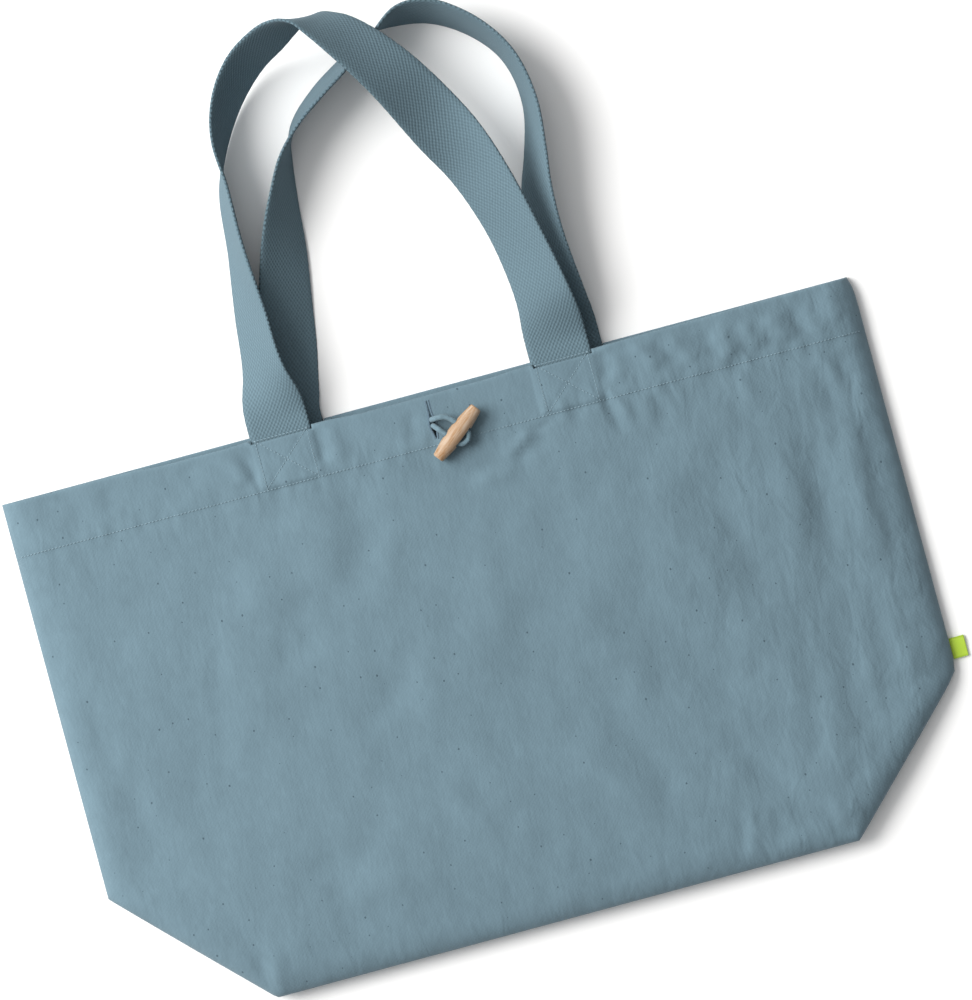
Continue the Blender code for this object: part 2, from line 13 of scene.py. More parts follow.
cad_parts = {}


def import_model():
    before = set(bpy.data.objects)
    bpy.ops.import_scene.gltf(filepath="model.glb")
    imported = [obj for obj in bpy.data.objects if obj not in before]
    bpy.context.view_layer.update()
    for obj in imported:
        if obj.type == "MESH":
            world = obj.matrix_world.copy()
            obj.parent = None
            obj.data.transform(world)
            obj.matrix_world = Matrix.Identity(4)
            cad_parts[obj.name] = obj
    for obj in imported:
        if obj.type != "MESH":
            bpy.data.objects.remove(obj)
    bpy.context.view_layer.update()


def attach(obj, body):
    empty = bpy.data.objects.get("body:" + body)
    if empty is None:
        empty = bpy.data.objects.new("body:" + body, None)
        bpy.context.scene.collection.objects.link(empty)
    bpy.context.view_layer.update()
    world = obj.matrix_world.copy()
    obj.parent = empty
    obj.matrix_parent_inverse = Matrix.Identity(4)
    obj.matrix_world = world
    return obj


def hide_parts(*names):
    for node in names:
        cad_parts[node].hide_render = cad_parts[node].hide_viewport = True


MM = 0.001

# The bag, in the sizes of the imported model
BAG_WIDTH = 0.540
BAG_HEIGHT = 0.336
BASE_DEPTH = 0.170
CANVAS = 0.0012
GAP = 0.0003
GROOVE = 0.0051
GROOVE_END = 0.2
SKIRT = 0.0020
EDGE_ROUND = 0.016
EDGE_RISE = 0.0085
DOME = 0.0145
MOUTH_RECESS = 0.0020
FOLD_WIDTH = 0.024
FOLD_LIFT = 0.0030
HEM_DEPTH = 0.035
POCKET_ROOM = 0.002
POCKET_STEP = 0.008
SLIT_ACROSS = -0.0012
SLIT_DOWN = 0.0185
SLIT_LENGTH = 0.024
STRAP_WIDTH = 0.038
STRAP_THICK = 0.0020
STRAP_TAIL = 0.033
STRAP_SPACING = 0.178
STRAP_RISE = 0.245
FRONT_SHIFT = -0.004
BACK_SHIFT = 0.004
STRAP_STRAIGHT = 0.006
TOGGLE_LENGTH = 0.039
TOGGLE_MIDDLE = 0.011
TOGGLE_END = 0.0074
TOGGLE_HOLE = 0.0047
HOLE_SPACING = 0.0095
SCOOP_RADIUS = 0.0032
SCOOP_FLOOR = 0.0030
TOGGLE_ACROSS = 0.0116
TOGGLE_DOWN = 0.0304
TOGGLE_TURN = math.radians(38)
CORD = 0.0034
CORD_PITCH = 0.0039
CORD_BEND = 0.0050
CORD_LEAD = 0.006
CORD_BOW = 0.0012
LABEL_OUT = 0.0095
LABEL_TALL = 0.013
LABEL_THICK = 0.0012
LABEL_DOWN = 0.2375
LABEL_CURL = 0.00025

HALF_WIDTH = BAG_WIDTH / 2
TUCK = BASE_DEPTH / 2
MOUTH_Y = BAG_HEIGHT / 2
SEAM_RIM = CANVAS + GAP
FOLD_RIM = 3 * CANVAS + 2 * GAP + GROOVE

# Fine relief of the cloth
CLOTH = 0.0010           # thickness of the cloth as drawn
FOOT_LIFT = 0.0010       # how far a handle's foot raises the cloth over it
FOOT_EDGE = 0.0024
FOOT_PAST = 0.0018       # the raised cloth ends this far past the webbing's end
SEW_IN = 0.0026          # the boxed seams run this far inside the foot's edges
SEW_TOP = 0.0032
SEW_BOTTOM = 0.0335
SEW_DENT = 0.00040
HEM_SEW_DENT = 0.4       # the hem's seam is this much of a boxed seam's depth
SEW_WIDTH = 0.0011
HEM_STEP = 0.0004        # the two layers of the hem stand this much over the panel
HEM_EDGE = 0.0024
HEM_SEW = 0.0343
HEM_SEW_END = 0.004      # the hem's seam ends this far inside the side seams
PUCKER = 0.0010
PUCKER_REACH = 0.009
SWELL = 0.0009           # soft undulation of the whole panel
SWELL_SIZE = 0.055
RUFFLE = 0.0006
RUFFLE_SIZE = 0.024
EDGE_PUCKER = 0.0006     # small gathers along the side and corner seams
EDGE_PUCKER_REACH = 0.026
FOLD_SHARE = 0.45        # the broad folds are partly taken over by the creases
CREASE_GAIN = 1.25
CREASE_WANDER = 0.0040   # the creases stray this far from their lines
CREASE_WANDER_SIZE = 0.024
CREASE_SEED = 4          # of the wander
CREASE_CLEAR = 0.006     # the creases fade out this near to the rim
BASE_RISE = 0.200        # from this far down the front rises softly towards the folded base
BASE_BLEND = 0.050
MOUTH_SAG = 0.0012
MOUTH_WAVE = 0.0004
CORNER_PULL = 0.0024     # the mouth's right corner is rounded off by this much
CORNER_REACH = 0.006
SLANT_PULL = 0.0012      # and the right edge where its slant starts
SLANT_REACH = 0.005
EDGE_PULL_IN = 0.030     # that pull and the hems' slack start this far inside the seams
LIP = 0.0012             # the lips of the folded base round inwards by this much
LIP_LOW = 0.0017         # the front's lip stays above this height
LIP_GAP = 0.0002         # and the back's lip at least this far under it
GROOVE_LEAST = 0.0003    # the groove between them is at least this deep
SEAM_MEET = 0.0015       # front and back meet at this height in the side seams
HEM_SLACK = 0.90         # from there the turned-in hems go only this share as far out
SLIT_WIDTH = 0.0006      # the buttonhole's width at its ends, and what the cord adds to it
SLIT_SWELL = 0.0030
SLIT_CORD = 0.28         # the cord passes this share of half the slit's length below its middle
SLIT_CORD_REACH = 0.42   # and this share of it is the swelling's reach
SLIT_SPREAD = 4          # columns of the cloth on each side that the buttonhole draws apart

# How crumpled the cloth is: everywhere, and what its right third, its hem and its seams add
CRUMPLE = 0.22
CRUMPLE_RIGHT = 0.50
CRUMPLE_HEM = 0.35
CRUMPLE_SEAM = 0.35
CRUMPLE_FROM = 0.05      # the right third's share grows from here over this length
CRUMPLE_GROWTH = 0.15
CRUMPLE_HEM_REACH = 0.016
CRUMPLE_SEAM_REACH = 0.030

# Spacing of the cloth's columns: at the buttonhole, at the handles' feet, and elsewhere
COLUMN_SLIT = 0.0010
COLUMN_FOOT = 0.0017
COLUMN = 0.0029

# Stitches
SEAM_STITCH = {"Pitch": 0.0023, "Length": 0.0017, "Width": 0.00056}
BUTTONHOLE_STITCH = {"Pitch": 0.0006, "Length": 0.0008, "Width": 0.0005}
BUTTONHOLE_COUNT = 40
BUTTONHOLE_REACH = 0.0011

# Webbing
STRAP_RING = 1.2 * MM    # spacing of the rings that the webbing is made of
STRAP_BOW = 0.0007
STRAP_RIPPLE = 0.0007
STRAP_HELD = 0.004       # the webbing is held flat this far past the mouth, and over the
STRAP_FREE = 0.03        # next stretch it comes to bow and ripple freely
SELVEDGE = 0.0009        # the faces end this far inside the selvedges
SELVEDGE_ROUND = 0.0002
SELVEDGE_WAVE = 0.00013
SELVEDGE_PITCH = 0.0029

# Toggle and cord
TOGGLE_ROUND = 0.0007
TOGGLE_SIDES = 48
TOGGLE_VOXEL = 0.00028
CORD_SIDES = 16
CORD_RING = 0.0009
CORD_GATHER = 0.0041     # the sewn tube gathers a little at this spacing

# Pixels of the photo's frame, and the camera
FRAME_HIGH = 1000
PIXEL = 0.6122 * MM      # size of one pixel on the bag's front
PHOTO_MIDDLE = Vector((0.0180, 0.0934, 0.020))
PHOTO_TURN = math.radians(-15.11)
LENS = 250.0
SENSOR = 36.0
LIGHT_FROM = (-0.840, 0.450, 0.84)
LIGHT_AWAY = 4.0
LIGHT_SIZE = 3.0
LIGHT_WATTS = 222.0
LIGHT_COLOUR = (1.0, 0.99, 0.97)
SURROUND_DIM = 0.18      # strength of the surround away from the light and towards it
SURROUND_BRIGHT = 1.36
SURROUND_FALL = 1.5
FLOOR_SIZE = 12.0

# Rise of the dome down the bag: share of the height, share of the dome height
DOME_DOWN = [
    (0.00, 0.66),
    (0.12, 0.80),
    (0.45, 1.00),
    (0.75, 0.72),
    (1.00, 0.00),
]

# Broad folds of the front panel: from and to, across as a share of half the width
# and down as a share of the height, then shares of FOLD_WIDTH and FOLD_LIFT
FOLDS = [
    (0.62, 0.04, 0.93, 0.20, 0.9, -0.8),
    (0.70, 0.02, 0.96, 0.12, 0.8, 0.7),
    (0.80, 0.30, 0.76, 0.80, 1.0, -0.9),
    (0.88, 0.25, 0.90, 0.70, 0.8, 0.8),
    (0.60, 0.45, 0.66, 0.85, 1.3, 0.6),
    (-0.88, 0.72, -0.70, 0.88, 0.9, -0.9),
    (-0.50, 0.86, -0.46, 0.97, 0.8, -0.7),
    (0.48, 0.84, 0.58, 0.93, 0.9, -0.9),
    (-0.60, 0.22, -0.72, 0.62, 1.5, -0.6),
    (-0.20, 0.35, -0.05, 0.75, 1.8, 0.5),
    (0.18, 0.30, 0.30, 0.62, 1.6, -0.6),
]

# Creases in mm: width, lift, then across and down of the points that each one follows
CREASES = [
    (11, 1.5, ((128, 3), (143, 25))),
    (12, 1.5, ((149, 4), (165, 29))),
    (12, 1.5, ((177, 8), (192, 30))),
    (10, 1.2, ((196, 8), (208, 29))),
    (11, 1.5, ((213, 6), (228, 29))),
    (10, 1.0, ((234, 7), (245, 29))),
    (11, 1.7, ((247, 2), (263, 24))),
    (8, -1.0, ((143, 6), (156, 26))),
    (8, -1.0, ((168, 8), (182, 30))),
    (8, -1.0, ((226, 6), (238, 28))),
    (6, -1.0, ((111, 3), (108, 25))),
    (7, 0.8, ((118, 6), (114, 28))),
    (8, -1.3, ((103, 27), (107, 40), (110, 59))),
    (6, 1.1, ((109, 28), (114, 38), (118, 53))),
    (7, -0.9, ((136, 34), (138, 49), (137, 62))),
    (9, 0.8, ((127, 32), (130, 49), (128, 64))),
    (9, -0.7, ((165, 33), (168, 50))),
    (10, 0.8, ((187, 33), (191, 53), (190, 70))),
    (6, -0.8, ((249, 42), (251, 56), (259, 66))),
    (7, 0.8, ((241, 40), (244, 60), (244, 72))),
    (9, -0.9, ((-20, 31), (-4, 50), (17, 58), (35, 55))),
    (7, 1.1, ((32, 54), (49, 45), (64, 41))),
    (8, -0.9, ((36, 62), (52, 52), (70, 48))),
    (9, 0.9, ((11, 63), (30, 65), (47, 58))),
    (6, -0.8, ((73, 35), (61, 42), (51, 40))),
    (11, -1.0, ((-13, 8), (-14, 20), (-14, 32))),
    (6, -1.1, ((-72, 0), (-71, 15), (-71, 30))),
    (9, 0.8, ((-66, 0), (-63, 17), (-63, 31))),
    (7, -1.1, ((-122, 2), (-118, 16), (-114, 29))),
    (9, 0.8, ((-129, 4), (-125, 18), (-122, 30))),
    (9, -0.7, ((-154, 5), (-151, 23))),
    (11, 0.3, ((-176, 4), (-172, 23))),
    (9, -0.6, ((-208, 5), (-205, 22))),
    (10, 0.6, ((-234, 7), (-232, 24))),
    (22, -1.2, ((-74, 26), (-65, 51), (-54, 71), (-62, 91), (-83, 118))),
    (32, 0.9, ((-97, 47), (-86, 75), (-97, 107))),
    (28, 0.8, ((-33, 61), (-46, 95), (-64, 129))),
    (26, -0.9, ((-33, 147), (-58, 158), (-74, 177), (-80, 203))),
    (32, 0.7, ((-14, 155), (-44, 172), (-59, 206))),
    (34, 0.9, ((24, 101), (-1, 146), (-17, 192))),
    (30, -0.7, ((35, 130), (25, 165), (8, 202))),
    (24, -1.7, ((142, 80), (153, 121), (167, 157), (191, 185))),
    (34, 1.3, ((114, 81), (129, 133), (152, 179))),
    (26, -1.5, ((76, 128), (92, 162), (118, 208), (147, 239))),
    (24, 1.2, ((49, 134), (67, 183), (99, 231))),
    (27, 0.9, ((129, 168), (156, 207), (187, 234))),
    (27, 1.3, ((198, 57), (201, 99), (200, 137), (197, 167))),
    (20, -0.8, ((218, 84), (217, 122), (213, 165))),
    (15, 0.8, ((246, 68), (245, 117), (241, 173))),
    (12, -0.8, ((254, 75), (255, 119), (251, 176))),
    (11, -1.0, ((238, 45), (239, 84), (234, 114))),
    (17, 0.7, ((218, 179), (221, 225), (214, 273))),
    (15, -0.7, ((228, 188), (231, 234), (224, 270))),
    (15, 0.7, ((193, 211), (192, 261), (182, 303))),
    (15, -0.7, ((180, 213), (180, 264), (169, 299))),
    (13, 0.7, ((240, 223), (242, 256), (229, 284))),
    (17, -1.1, ((118, 246), (139, 274), (160, 302))),
    (18, 0.9, ((116, 261), (136, 290), (152, 317))),
    (9, -1.2, ((162, 308), (173, 324), (187, 332))),
    (9, 1.0, ((171, 304), (181, 316), (194, 320))),
    (7, -1.0, ((111, 295), (115, 314), (112, 332))),
    (7, 0.9, ((121, 296), (124, 316), (122, 332))),
    (7, -1.0, ((138, 301), (141, 320), (139, 332))),
    (24, 1.0, ((25, 222), (53, 261), (67, 303))),
    (18, -0.9, ((54, 211), (74, 254), (93, 298))),
    (20, -0.9, ((-254, 115), (-248, 155), (-237, 197), (-227, 230), (-213, 251), (-195, 244))),
    (22, 0.7, ((-242, 125), (-234, 171), (-222, 218), (-209, 234))),
    (11, 0.3, ((-167, 82), (-179, 142), (-190, 202), (-204, 238))),
    (9, -0.25, ((-159, 90), (-171, 150), (-183, 210))),
    (31, 1.3, ((-147, 88), (-125, 92), (-107, 111))),
    (21, -1.2, ((-138, 126), (-116, 134), (-95, 125))),
    (15, -1.0, ((-262, 63), (-262, 101), (-266, 137))),
    (16, -0.7, ((-266, 249), (-254, 260), (-243, 277))),
    (10, -0.9, ((-186, 304), (-188, 320), (-188, 334))),
    (10, 0.6, ((-178, 303), (-178, 317), (-181, 332))),
    (16, -0.8, ((-153, 270), (-126, 264), (-102, 272))),
    (18, 0.8, ((-126, 289), (-93, 285), (-63, 291))),
    (16, -0.7, ((-22, 254), (-1, 272), (4, 299))),
    (18, 0.8, ((-66, 230), (-45, 248), (-30, 284))),
]

# Sags of the mouth: middle across, half the width, and the width over which it ends
MOUTH_SAGS = [
    (-0.148, 0.039, 0.020),
    (-0.003, 0.064, 0.025),
]

# Sections of each handle between its two feet: across as a share of half the feet's
# spacing, up as a share of STRAP_RISE, height as a share of STRAP_WIDTH, then the plan
# direction and the tilt in degrees of the line across the webbing
FRONT_STRAP = [
    (-0.995, 0.147, 0.52, -1, 44),
    (-0.979, 0.297, 0.48, 0, 60),
    (-0.962, 0.437, 0.50, -1, 72),
    (-0.927, 0.629, 0.52, -6, 83),
    (-0.875, 0.731, 0.52, -17, 102),
    (-0.806, 0.792, 0.51, -18, 112),
    (-0.694, 0.855, 0.53, -22, 121),
    (-0.555, 0.907, 0.60, -26, 126),
    (-0.410, 0.939, 0.76, -28, 127),
    (-0.270, 0.963, 0.96, -23, 121),
    (-0.175, 0.970, 1.13, -8, 116),
    (-0.085, 0.966, 1.24, 11, 120),
    (0.005, 0.943, 1.31, 20, 129),
    (0.194, 0.869, 1.36, 28, 144),
    (0.323, 0.806, 1.33, 29, 153),
    (0.601, 0.635, 1.01, 29, 180),
    (0.754, 0.525, 0.88, 24, 205),
    (0.868, 0.402, 0.82, 18, 215),
    (0.946, 0.275, 0.76, 13, 217),
    (0.993, 0.151, 0.71, 8, 208),
]

BACK_STRAP = [
    (-0.970, 0.072, 0.12, 177, 9),
    (-0.896, 0.180, 0.18, 174, 18),
    (-0.814, 0.314, 0.31, 171, 33),
    (-0.724, 0.445, 0.40, 170, 47),
    (-0.645, 0.551, 0.48, 165, 64),
    (-0.559, 0.646, 0.52, 160, 80),
    (-0.468, 0.708, 0.525, 128, 95),
    (-0.229, 0.785, 0.52, 126, 103),
    (-0.044, 0.828, 0.52, 121, 103),
    (0.107, 0.863, 0.52, 120, 100),
    (0.268, 0.899, 0.525, 100, 93),
    (0.439, 0.921, 0.51, 76, 76),
    (0.619, 0.914, 0.50, 66, 72),
    (0.832, 0.871, 0.51, 46, 74),
    (1.080, 0.767, 0.52, 24, 79),
    (1.157, 0.636, 0.52, 6, 78),
    (1.104, 0.504, 0.50, -4, 70),
    (1.056, 0.432, 0.475, -4, 64),
    (1.010, 0.291, 0.42, 0, 52),
    (1.002, 0.139, 0.28, -1, 30),
]


def clamp(value, low, high):
    return max(low, min(high, value))


def smooth_step(value):
    value = clamp(value, 0.0, 1.0)
    return value * value * (3 - 2 * value)


def blend(start, end, share):
    return start + (end - start) * share


def smooth_curve(start, end, leave, arrive, share):
    """Point of a smooth curve between two rows, from its slopes where it leaves and arrives."""
    square, cube = share ** 2, share ** 3
    return ((2 * cube - 3 * square + 1) * start + (3 * square - 2 * cube) * end
            + (cube - 2 * square + share) * leave + (cube - square) * arrive)


def steps(start, end, count):
    """Evenly spaced values from start to end, without the start."""
    return [start + (end - start) * index / count for index in range(1, count + 1)]


def from_table(table, place):
    """Smooth value between the rows of a two column table."""
    for (start, low), (end, high) in zip(table, table[1:]):
        if place <= end:
            return low + (high - low) * smooth_step((place - start) / (end - start))
    return table[-1][1]


# The shape of the bag

def bottom_of(x):
    """How far down the folded outline reaches at x: straight, then slanted."""
    return min(BAG_HEIGHT, BAG_HEIGHT - TUCK + HALF_WIDTH - abs(x))


def rim_distance(x, down):
    """Distance in from the side seams, the slanted corners and the bottom fold."""
    side = HALF_WIDTH - abs(x)
    bottom = BAG_HEIGHT - down
    slant = (side + bottom - TUCK) / math.sqrt(2)
    return max(0.0, min(side, bottom, slant))


def rim_height(down):
    """The front panel's rim: on the back panel at the seams, up on the base folds."""
    share = clamp((down - BAG_HEIGHT + TUCK) / TUCK, 0.0, 1.0)
    return SEAM_RIM + (FOLD_RIM - SEAM_RIM) * math.sqrt(share)


def ridge_sum(table, x, down):
    """Sum of straight ridges and valleys: start, end, width and lift of each."""
    total = 0.0
    for start_x, start_down, end_x, end_down, width, lift in table:
        run_x = end_x - start_x
        run_down = end_down - start_down
        off_x = x - start_x
        off_down = down - start_down
        along = (off_x * run_x + off_down * run_down) / (run_x ** 2 + run_down ** 2)
        along = clamp(along, 0.0, 1.0)
        away = math.hypot(off_x - run_x * along, off_down - run_down * along) / width
        if away < 2:
            total += lift * math.exp(-away * away * 4)
    return total


def folded_path(width, lift, points):
    """A crease ready for use: the box that it reaches, its sizes and its stretches."""
    stretches = []
    run = 0.0
    for (start_x, start_down), (end_x, end_down) in zip(points, points[1:]):
        length = math.hypot(end_x - start_x, end_down - start_down)
        stretches.append((start_x, start_down, (end_x - start_x) / length,
                          (end_down - start_down) / length, length, run))
        run += length
    across, downs = zip(*points)
    reach = 1.2 * width
    return (min(across) - reach, max(across) + reach, min(downs) - reach, max(downs) + reach,
            width, lift, run, stretches)


def crease_sum(x, down):
    """Sum of all creases: ridges and valleys along wandering lines, fading at both ends."""
    total = 0.0
    size = CREASE_WANDER_SIZE
    gain = 1 + 0.5 * noise.noise(Vector((x / size, down / size, 9.7)))
    wander = noise.noise_vector(Vector((x / size, down / size, 5.3))) * CREASE_WANDER
    x += wander.x
    down += wander.y
    for left, right, top, low, width, lift, whole, stretches in CREASE_PATHS:
        if not (left < x < right and top < down < low):
            continue
        nearest = width * 2
        place = 0.0
        for start_x, start_down, step_x, step_down, length, run in stretches:
            along = clamp((x - start_x) * step_x + (down - start_down) * step_down, 0.0, length)
            away = math.hypot(x - start_x - step_x * along, down - start_down - step_down * along)
            if away < nearest:
                nearest = away
                place = run + along
        if nearest < 1.2 * width:
            fade = smooth_step(3 * min(place, whole - place) / whole)
            total += lift * fade * math.exp(-4 * (nearest / width) ** 2)
    return CREASE_GAIN * gain * total


FOLD_LINES = [(a * HALF_WIDTH, b * BAG_HEIGHT, c * HALF_WIDTH, d * BAG_HEIGHT,
               width * FOLD_WIDTH, lift * FOLD_LIFT) for a, b, c, d, width, lift in FOLDS]
CREASE_PATHS = [folded_path(width * MM, lift * MM, [(x * MM, down * MM) for x, down in points])
                for width, lift, points in CREASES]

# Without a seed, noise_vector takes its offsets from the clock, new ones in each run
noise.seed_set(CREASE_SEED)


def front_height(x, down):
    """Height of the front panel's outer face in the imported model."""
    inward = clamp(rim_distance(x, down) / EDGE_ROUND, 0.0, 1.0)
    rounding = EDGE_RISE * math.sqrt(1 - (1 - inward) ** 2)
    arch = 1 - (x / HALF_WIDTH) ** 2
    dome = DOME * arch * from_table(DOME_DOWN, down / BAG_HEIGHT)
    folds = ridge_sum(FOLD_LINES, x, down) * smooth_step(rim_distance(x, down) / EDGE_ROUND)
    return rim_height(down) + SKIRT + rounding + dome + folds


def dome_rise(place):
    """The dome's rise on a smooth curve through the rows of its table."""
    index = min(len(DOME_DOWN) - 2, sum(1 for start, _ in DOME_DOWN[1:-1] if place > start))
    (start, low), (end, high) = DOME_DOWN[index:index + 2]
    share = clamp((place - start) / (end - start), 0.0, 1.0)
    leave, arrive = (dome_slope(row) * (end - start) for row in (index, index + 1))
    return smooth_curve(low, high, leave, arrive, share)


def dome_slope(row):
    """The dome's rise per share of the height at a row, from the rows on both sides."""
    before = DOME_DOWN[max(row - 1, 0)]
    after = DOME_DOWN[min(row + 1, len(DOME_DOWN) - 1)]
    return (after[1] - before[1]) / (after[0] - before[0])


def foot_places(shift):
    """Where the middles of a handle's two feet lie across."""
    return [shift + side * STRAP_SPACING / 2 for side in (-1, 1)]


def sewn_lines():
    """Straight seams of the front: the hem's, and a crossed box on each handle's foot."""
    hem_end = HALF_WIDTH - HEM_SEW_END
    lines = [((-hem_end, HEM_SEW), (hem_end, HEM_SEW))]
    for foot in foot_places(FRONT_SHIFT):
        left = foot - STRAP_WIDTH / 2 + SEW_IN
        right = foot + STRAP_WIDTH / 2 - SEW_IN
        lines += [
            ((left, SEW_TOP), (right, SEW_TOP)),
            ((left, SEW_TOP), (left, SEW_BOTTOM)),
            ((right, SEW_TOP), (right, SEW_BOTTOM)),
            ((left, SEW_TOP), (right, SEW_BOTTOM)),
            ((right, SEW_TOP), (left, SEW_BOTTOM)),
        ]
    return lines


SEAM_LINES = [(*start, *end, 2 * SEW_WIDTH, -SEW_DENT * (1.0 if index else HEM_SEW_DENT))
              for index, (start, end) in enumerate(sewn_lines())]


def hem_relief(x, down):
    """Step of the hem, raised feet of the handle, dents and puckers of the seams."""
    relief = HEM_STEP * smooth_step((HEM_DEPTH + HEM_EDGE / 2 - down) / HEM_EDGE)
    for foot in foot_places(FRONT_SHIFT):
        side = STRAP_WIDTH / 2 + FOOT_EDGE / 2 - abs(x - foot)
        low = STRAP_TAIL + FOOT_PAST - down
        relief += FOOT_LIFT * smooth_step(side / FOOT_EDGE) * smooth_step(low / FOOT_EDGE)
    if down < SEW_BOTTOM + 0.006:
        relief += ridge_sum(SEAM_LINES, x, down)
    reach = math.exp(-((down - HEM_SEW) / PUCKER_REACH) ** 2)
    if reach > 0.02:
        ripple = noise.noise(Vector((x * 170, down * 45, 3.1)))
        relief += PUCKER * reach * ripple
    return relief


def cloth_height(x, down):
    """Outer face of the front cloth with its fine relief."""
    rim = rim_distance(x, down)
    inward = smooth_step(rim / EDGE_ROUND)
    rounding = EDGE_RISE * math.sqrt(1 - (1 - clamp(rim / EDGE_ROUND, 0.0, 1.0)) ** 2)
    dome = DOME * (1 - (x / HALF_WIDTH) ** 2) * dome_rise(down / BAG_HEIGHT)
    soft_rim = blend(SEAM_RIM, FOLD_RIM, smooth_step((down - BASE_RISE) / (BAG_HEIGHT - BASE_RISE)))
    edge = blend(rim_height(down), soft_rim, smooth_step(rim / BASE_BLEND))
    height = edge + SKIRT + rounding + dome
    height += FOLD_SHARE * ridge_sum(FOLD_LINES, x, down) * inward
    height += hem_relief(x, down) + crease_sum(x, down) * smooth_step(rim / CREASE_CLEAR)
    swell = noise.noise(Vector((x, down, 0.4)) / SWELL_SIZE)
    ruffle = noise.noise(Vector((x * 1.4, down * 0.8, 0.1)) / RUFFLE_SIZE)
    side = math.exp(-(rim / EDGE_PUCKER_REACH) ** 2) * smooth_step(rim / 0.003)
    gathers = noise.noise(Vector((x * 30, down * 105, 6.2))) * (1.0 if x > 0 else 0.45)
    return height + (swell * SWELL + ruffle * RUFFLE) * inward + gathers * side * EDGE_PUCKER


def mouth_down(x):
    """The front cloth's top edge: wavy, lower in the middle and beside the handles' feet."""
    wave = MOUTH_WAVE * noise.noise(Vector((x * 22, 0.0, 8.2)))
    sag = max(smooth_step((half - abs(x - middle)) / end) for middle, half, end in MOUTH_SAGS)
    return MOUTH_RECESS * (1 - (x / HALF_WIDTH) ** 2) + MOUTH_SAG * sag + wave


def pocket(x, shift):
    """1 where a handle's foot lies inside the hem, 0 away from it."""
    away = min(abs(x - foot) for foot in foot_places(shift))
    return 1 - smooth_step((away - STRAP_WIDTH / 2 - POCKET_ROOM) / POCKET_STEP)


def front_stack(x):
    """Height of the front hem's layers."""
    return 2 * CANVAS + 2 * GAP + (STRAP_THICK + 2 * GAP) * pocket(x, FRONT_SHIFT)


def back_stack(x):
    """Height of the back hem's layers."""
    return 2 * CANVAS + GAP + (STRAP_THICK + GAP) * pocket(x, BACK_SHIFT)


def cloth_columns():
    """Places across the bag, close together over the handles' feet and at the sides."""
    edge = [HALF_WIDTH - EDGE_ROUND * (1 - math.sin(math.pi / 2 * share))
            for share in (0.0, 0.2, 0.4, 0.6, 0.8, 1.0)]
    inner = edge[0] - 0.003
    places = []
    x = -inner
    while x < inner:
        places.append(x)
        near_foot = min(abs(x + 0.001 - foot) for foot in foot_places(FRONT_SHIFT))
        near_slit = abs(x + 0.001 - SLIT_ACROSS)
        if near_slit < 8 * MM:
            x += COLUMN_SLIT
        elif near_foot < STRAP_WIDTH / 2 + 6 * MM:
            x += COLUMN_FOOT
        else:
            x += COLUMN
    places = [x for x in places if abs(x - SLIT_ACROSS) > 0.0004]
    places += [SLIT_ACROSS, inner]
    places += edge + [-x for x in edge]
    return sorted(places)


# Stretches of the cloth after the front's top edge, and the number of rows in each
STRETCHES = [
    ("front_top", 28),
    ("front", 88),
    ("front_rim", 7),
    ("lip", 3),
    ("groove_top", 5),
    ("ridge", 5),
    ("groove_low", 5),
    ("back_lip", 3),
    ("back", 8),
    ("back_roll", 5),
    ("back_hem", 4),
]


def cloth_rows():
    """Rows of the bag's section, from inside the front hem round to the back's."""
    rows = [("front_hem", share) for share in [1.0] + steps(1.0, 0.0, 8)]
    rows += [("front_roll", share) for share in steps(0.0, 1.0, 5)[:-1]]
    rows += [("front_top", 0.0)]
    for kind, count in STRETCHES:
        rows += [(kind, share) for share in steps(0.0, 1.0, count)]
    return rows


# The front's row here is straight; those above it follow the mouth, those below it the rim
TOP_ZONE = HEM_DEPTH + 8 * MM


def cloth_section(x, kind, share):
    """Place down and height of one point of the bag's outer face at x."""
    lip = bottom_of(x)
    mouth = mouth_down(x)
    stack = front_stack(x)
    radius = stack / 2
    reach = EDGE_ROUND * (math.sqrt(2) if abs(x) > HALF_WIDTH - TUCK else 1.0)
    top = rim_height(lip) + SKIRT
    low = max(rim_height(lip) - CANVAS - GAP, LIP_LOW)
    back_top = min(2 * CANVAS + GAP, low - LIP_GAP)
    middle = (low + back_top) / 2
    inner = (low - back_top) * GROOVE_END
    depth = max(lip - (BAG_HEIGHT - TUCK + inner + CANVAS), GROOVE_LEAST)
    turn = math.pi * (share - 0.5)
    if kind == "front_hem":
        down = blend(mouth + radius, HEM_DEPTH, share)
        height = cloth_height(x, down)
        floor = min(back_stack(x) + GAP, height - CANVAS)
        return down, max(height - stack, floor)
    if kind == "front_roll":
        height = cloth_height(x, mouth + radius)
        return mouth + radius * (1 - math.cos(turn)), height - radius + radius * math.sin(turn)
    if kind == "front_top":
        down = blend(mouth + radius, TOP_ZONE, share)
        return down, cloth_height(x, down)
    if kind == "front":
        down = blend(TOP_ZONE, lip - reach, share)
        return down, cloth_height(x, down)
    if kind == "front_rim":
        down = lip - reach * (1 - math.sin(math.pi / 2 * share))
        return down, cloth_height(x, down)
    if kind == "lip":
        return lip - LIP * share ** 3, blend(top, low, share)
    if kind == "groove_top":
        return blend(lip - LIP, lip - depth, share), blend(low, middle + inner, share)
    if kind == "ridge":
        angle = math.pi * (0.5 - share)
        return lip - depth - inner * math.cos(angle), middle + inner * math.sin(angle)
    if kind == "groove_low":
        return blend(lip - depth, lip - LIP, share), blend(middle - inner, back_top, share)
    if kind == "back_lip":
        angle = math.pi * (0.5 - share)
        half = back_top / 2
        return lip - LIP + LIP * math.cos(angle), half + half * math.sin(angle)
    radius = back_stack(x) / 2
    if kind == "back":
        return blend(lip - LIP, radius, share), 0.0
    if kind == "back_roll":
        return radius * (1 - math.cos(turn)), radius + radius * math.sin(turn)
    return blend(radius, HEM_DEPTH, share), 2 * radius


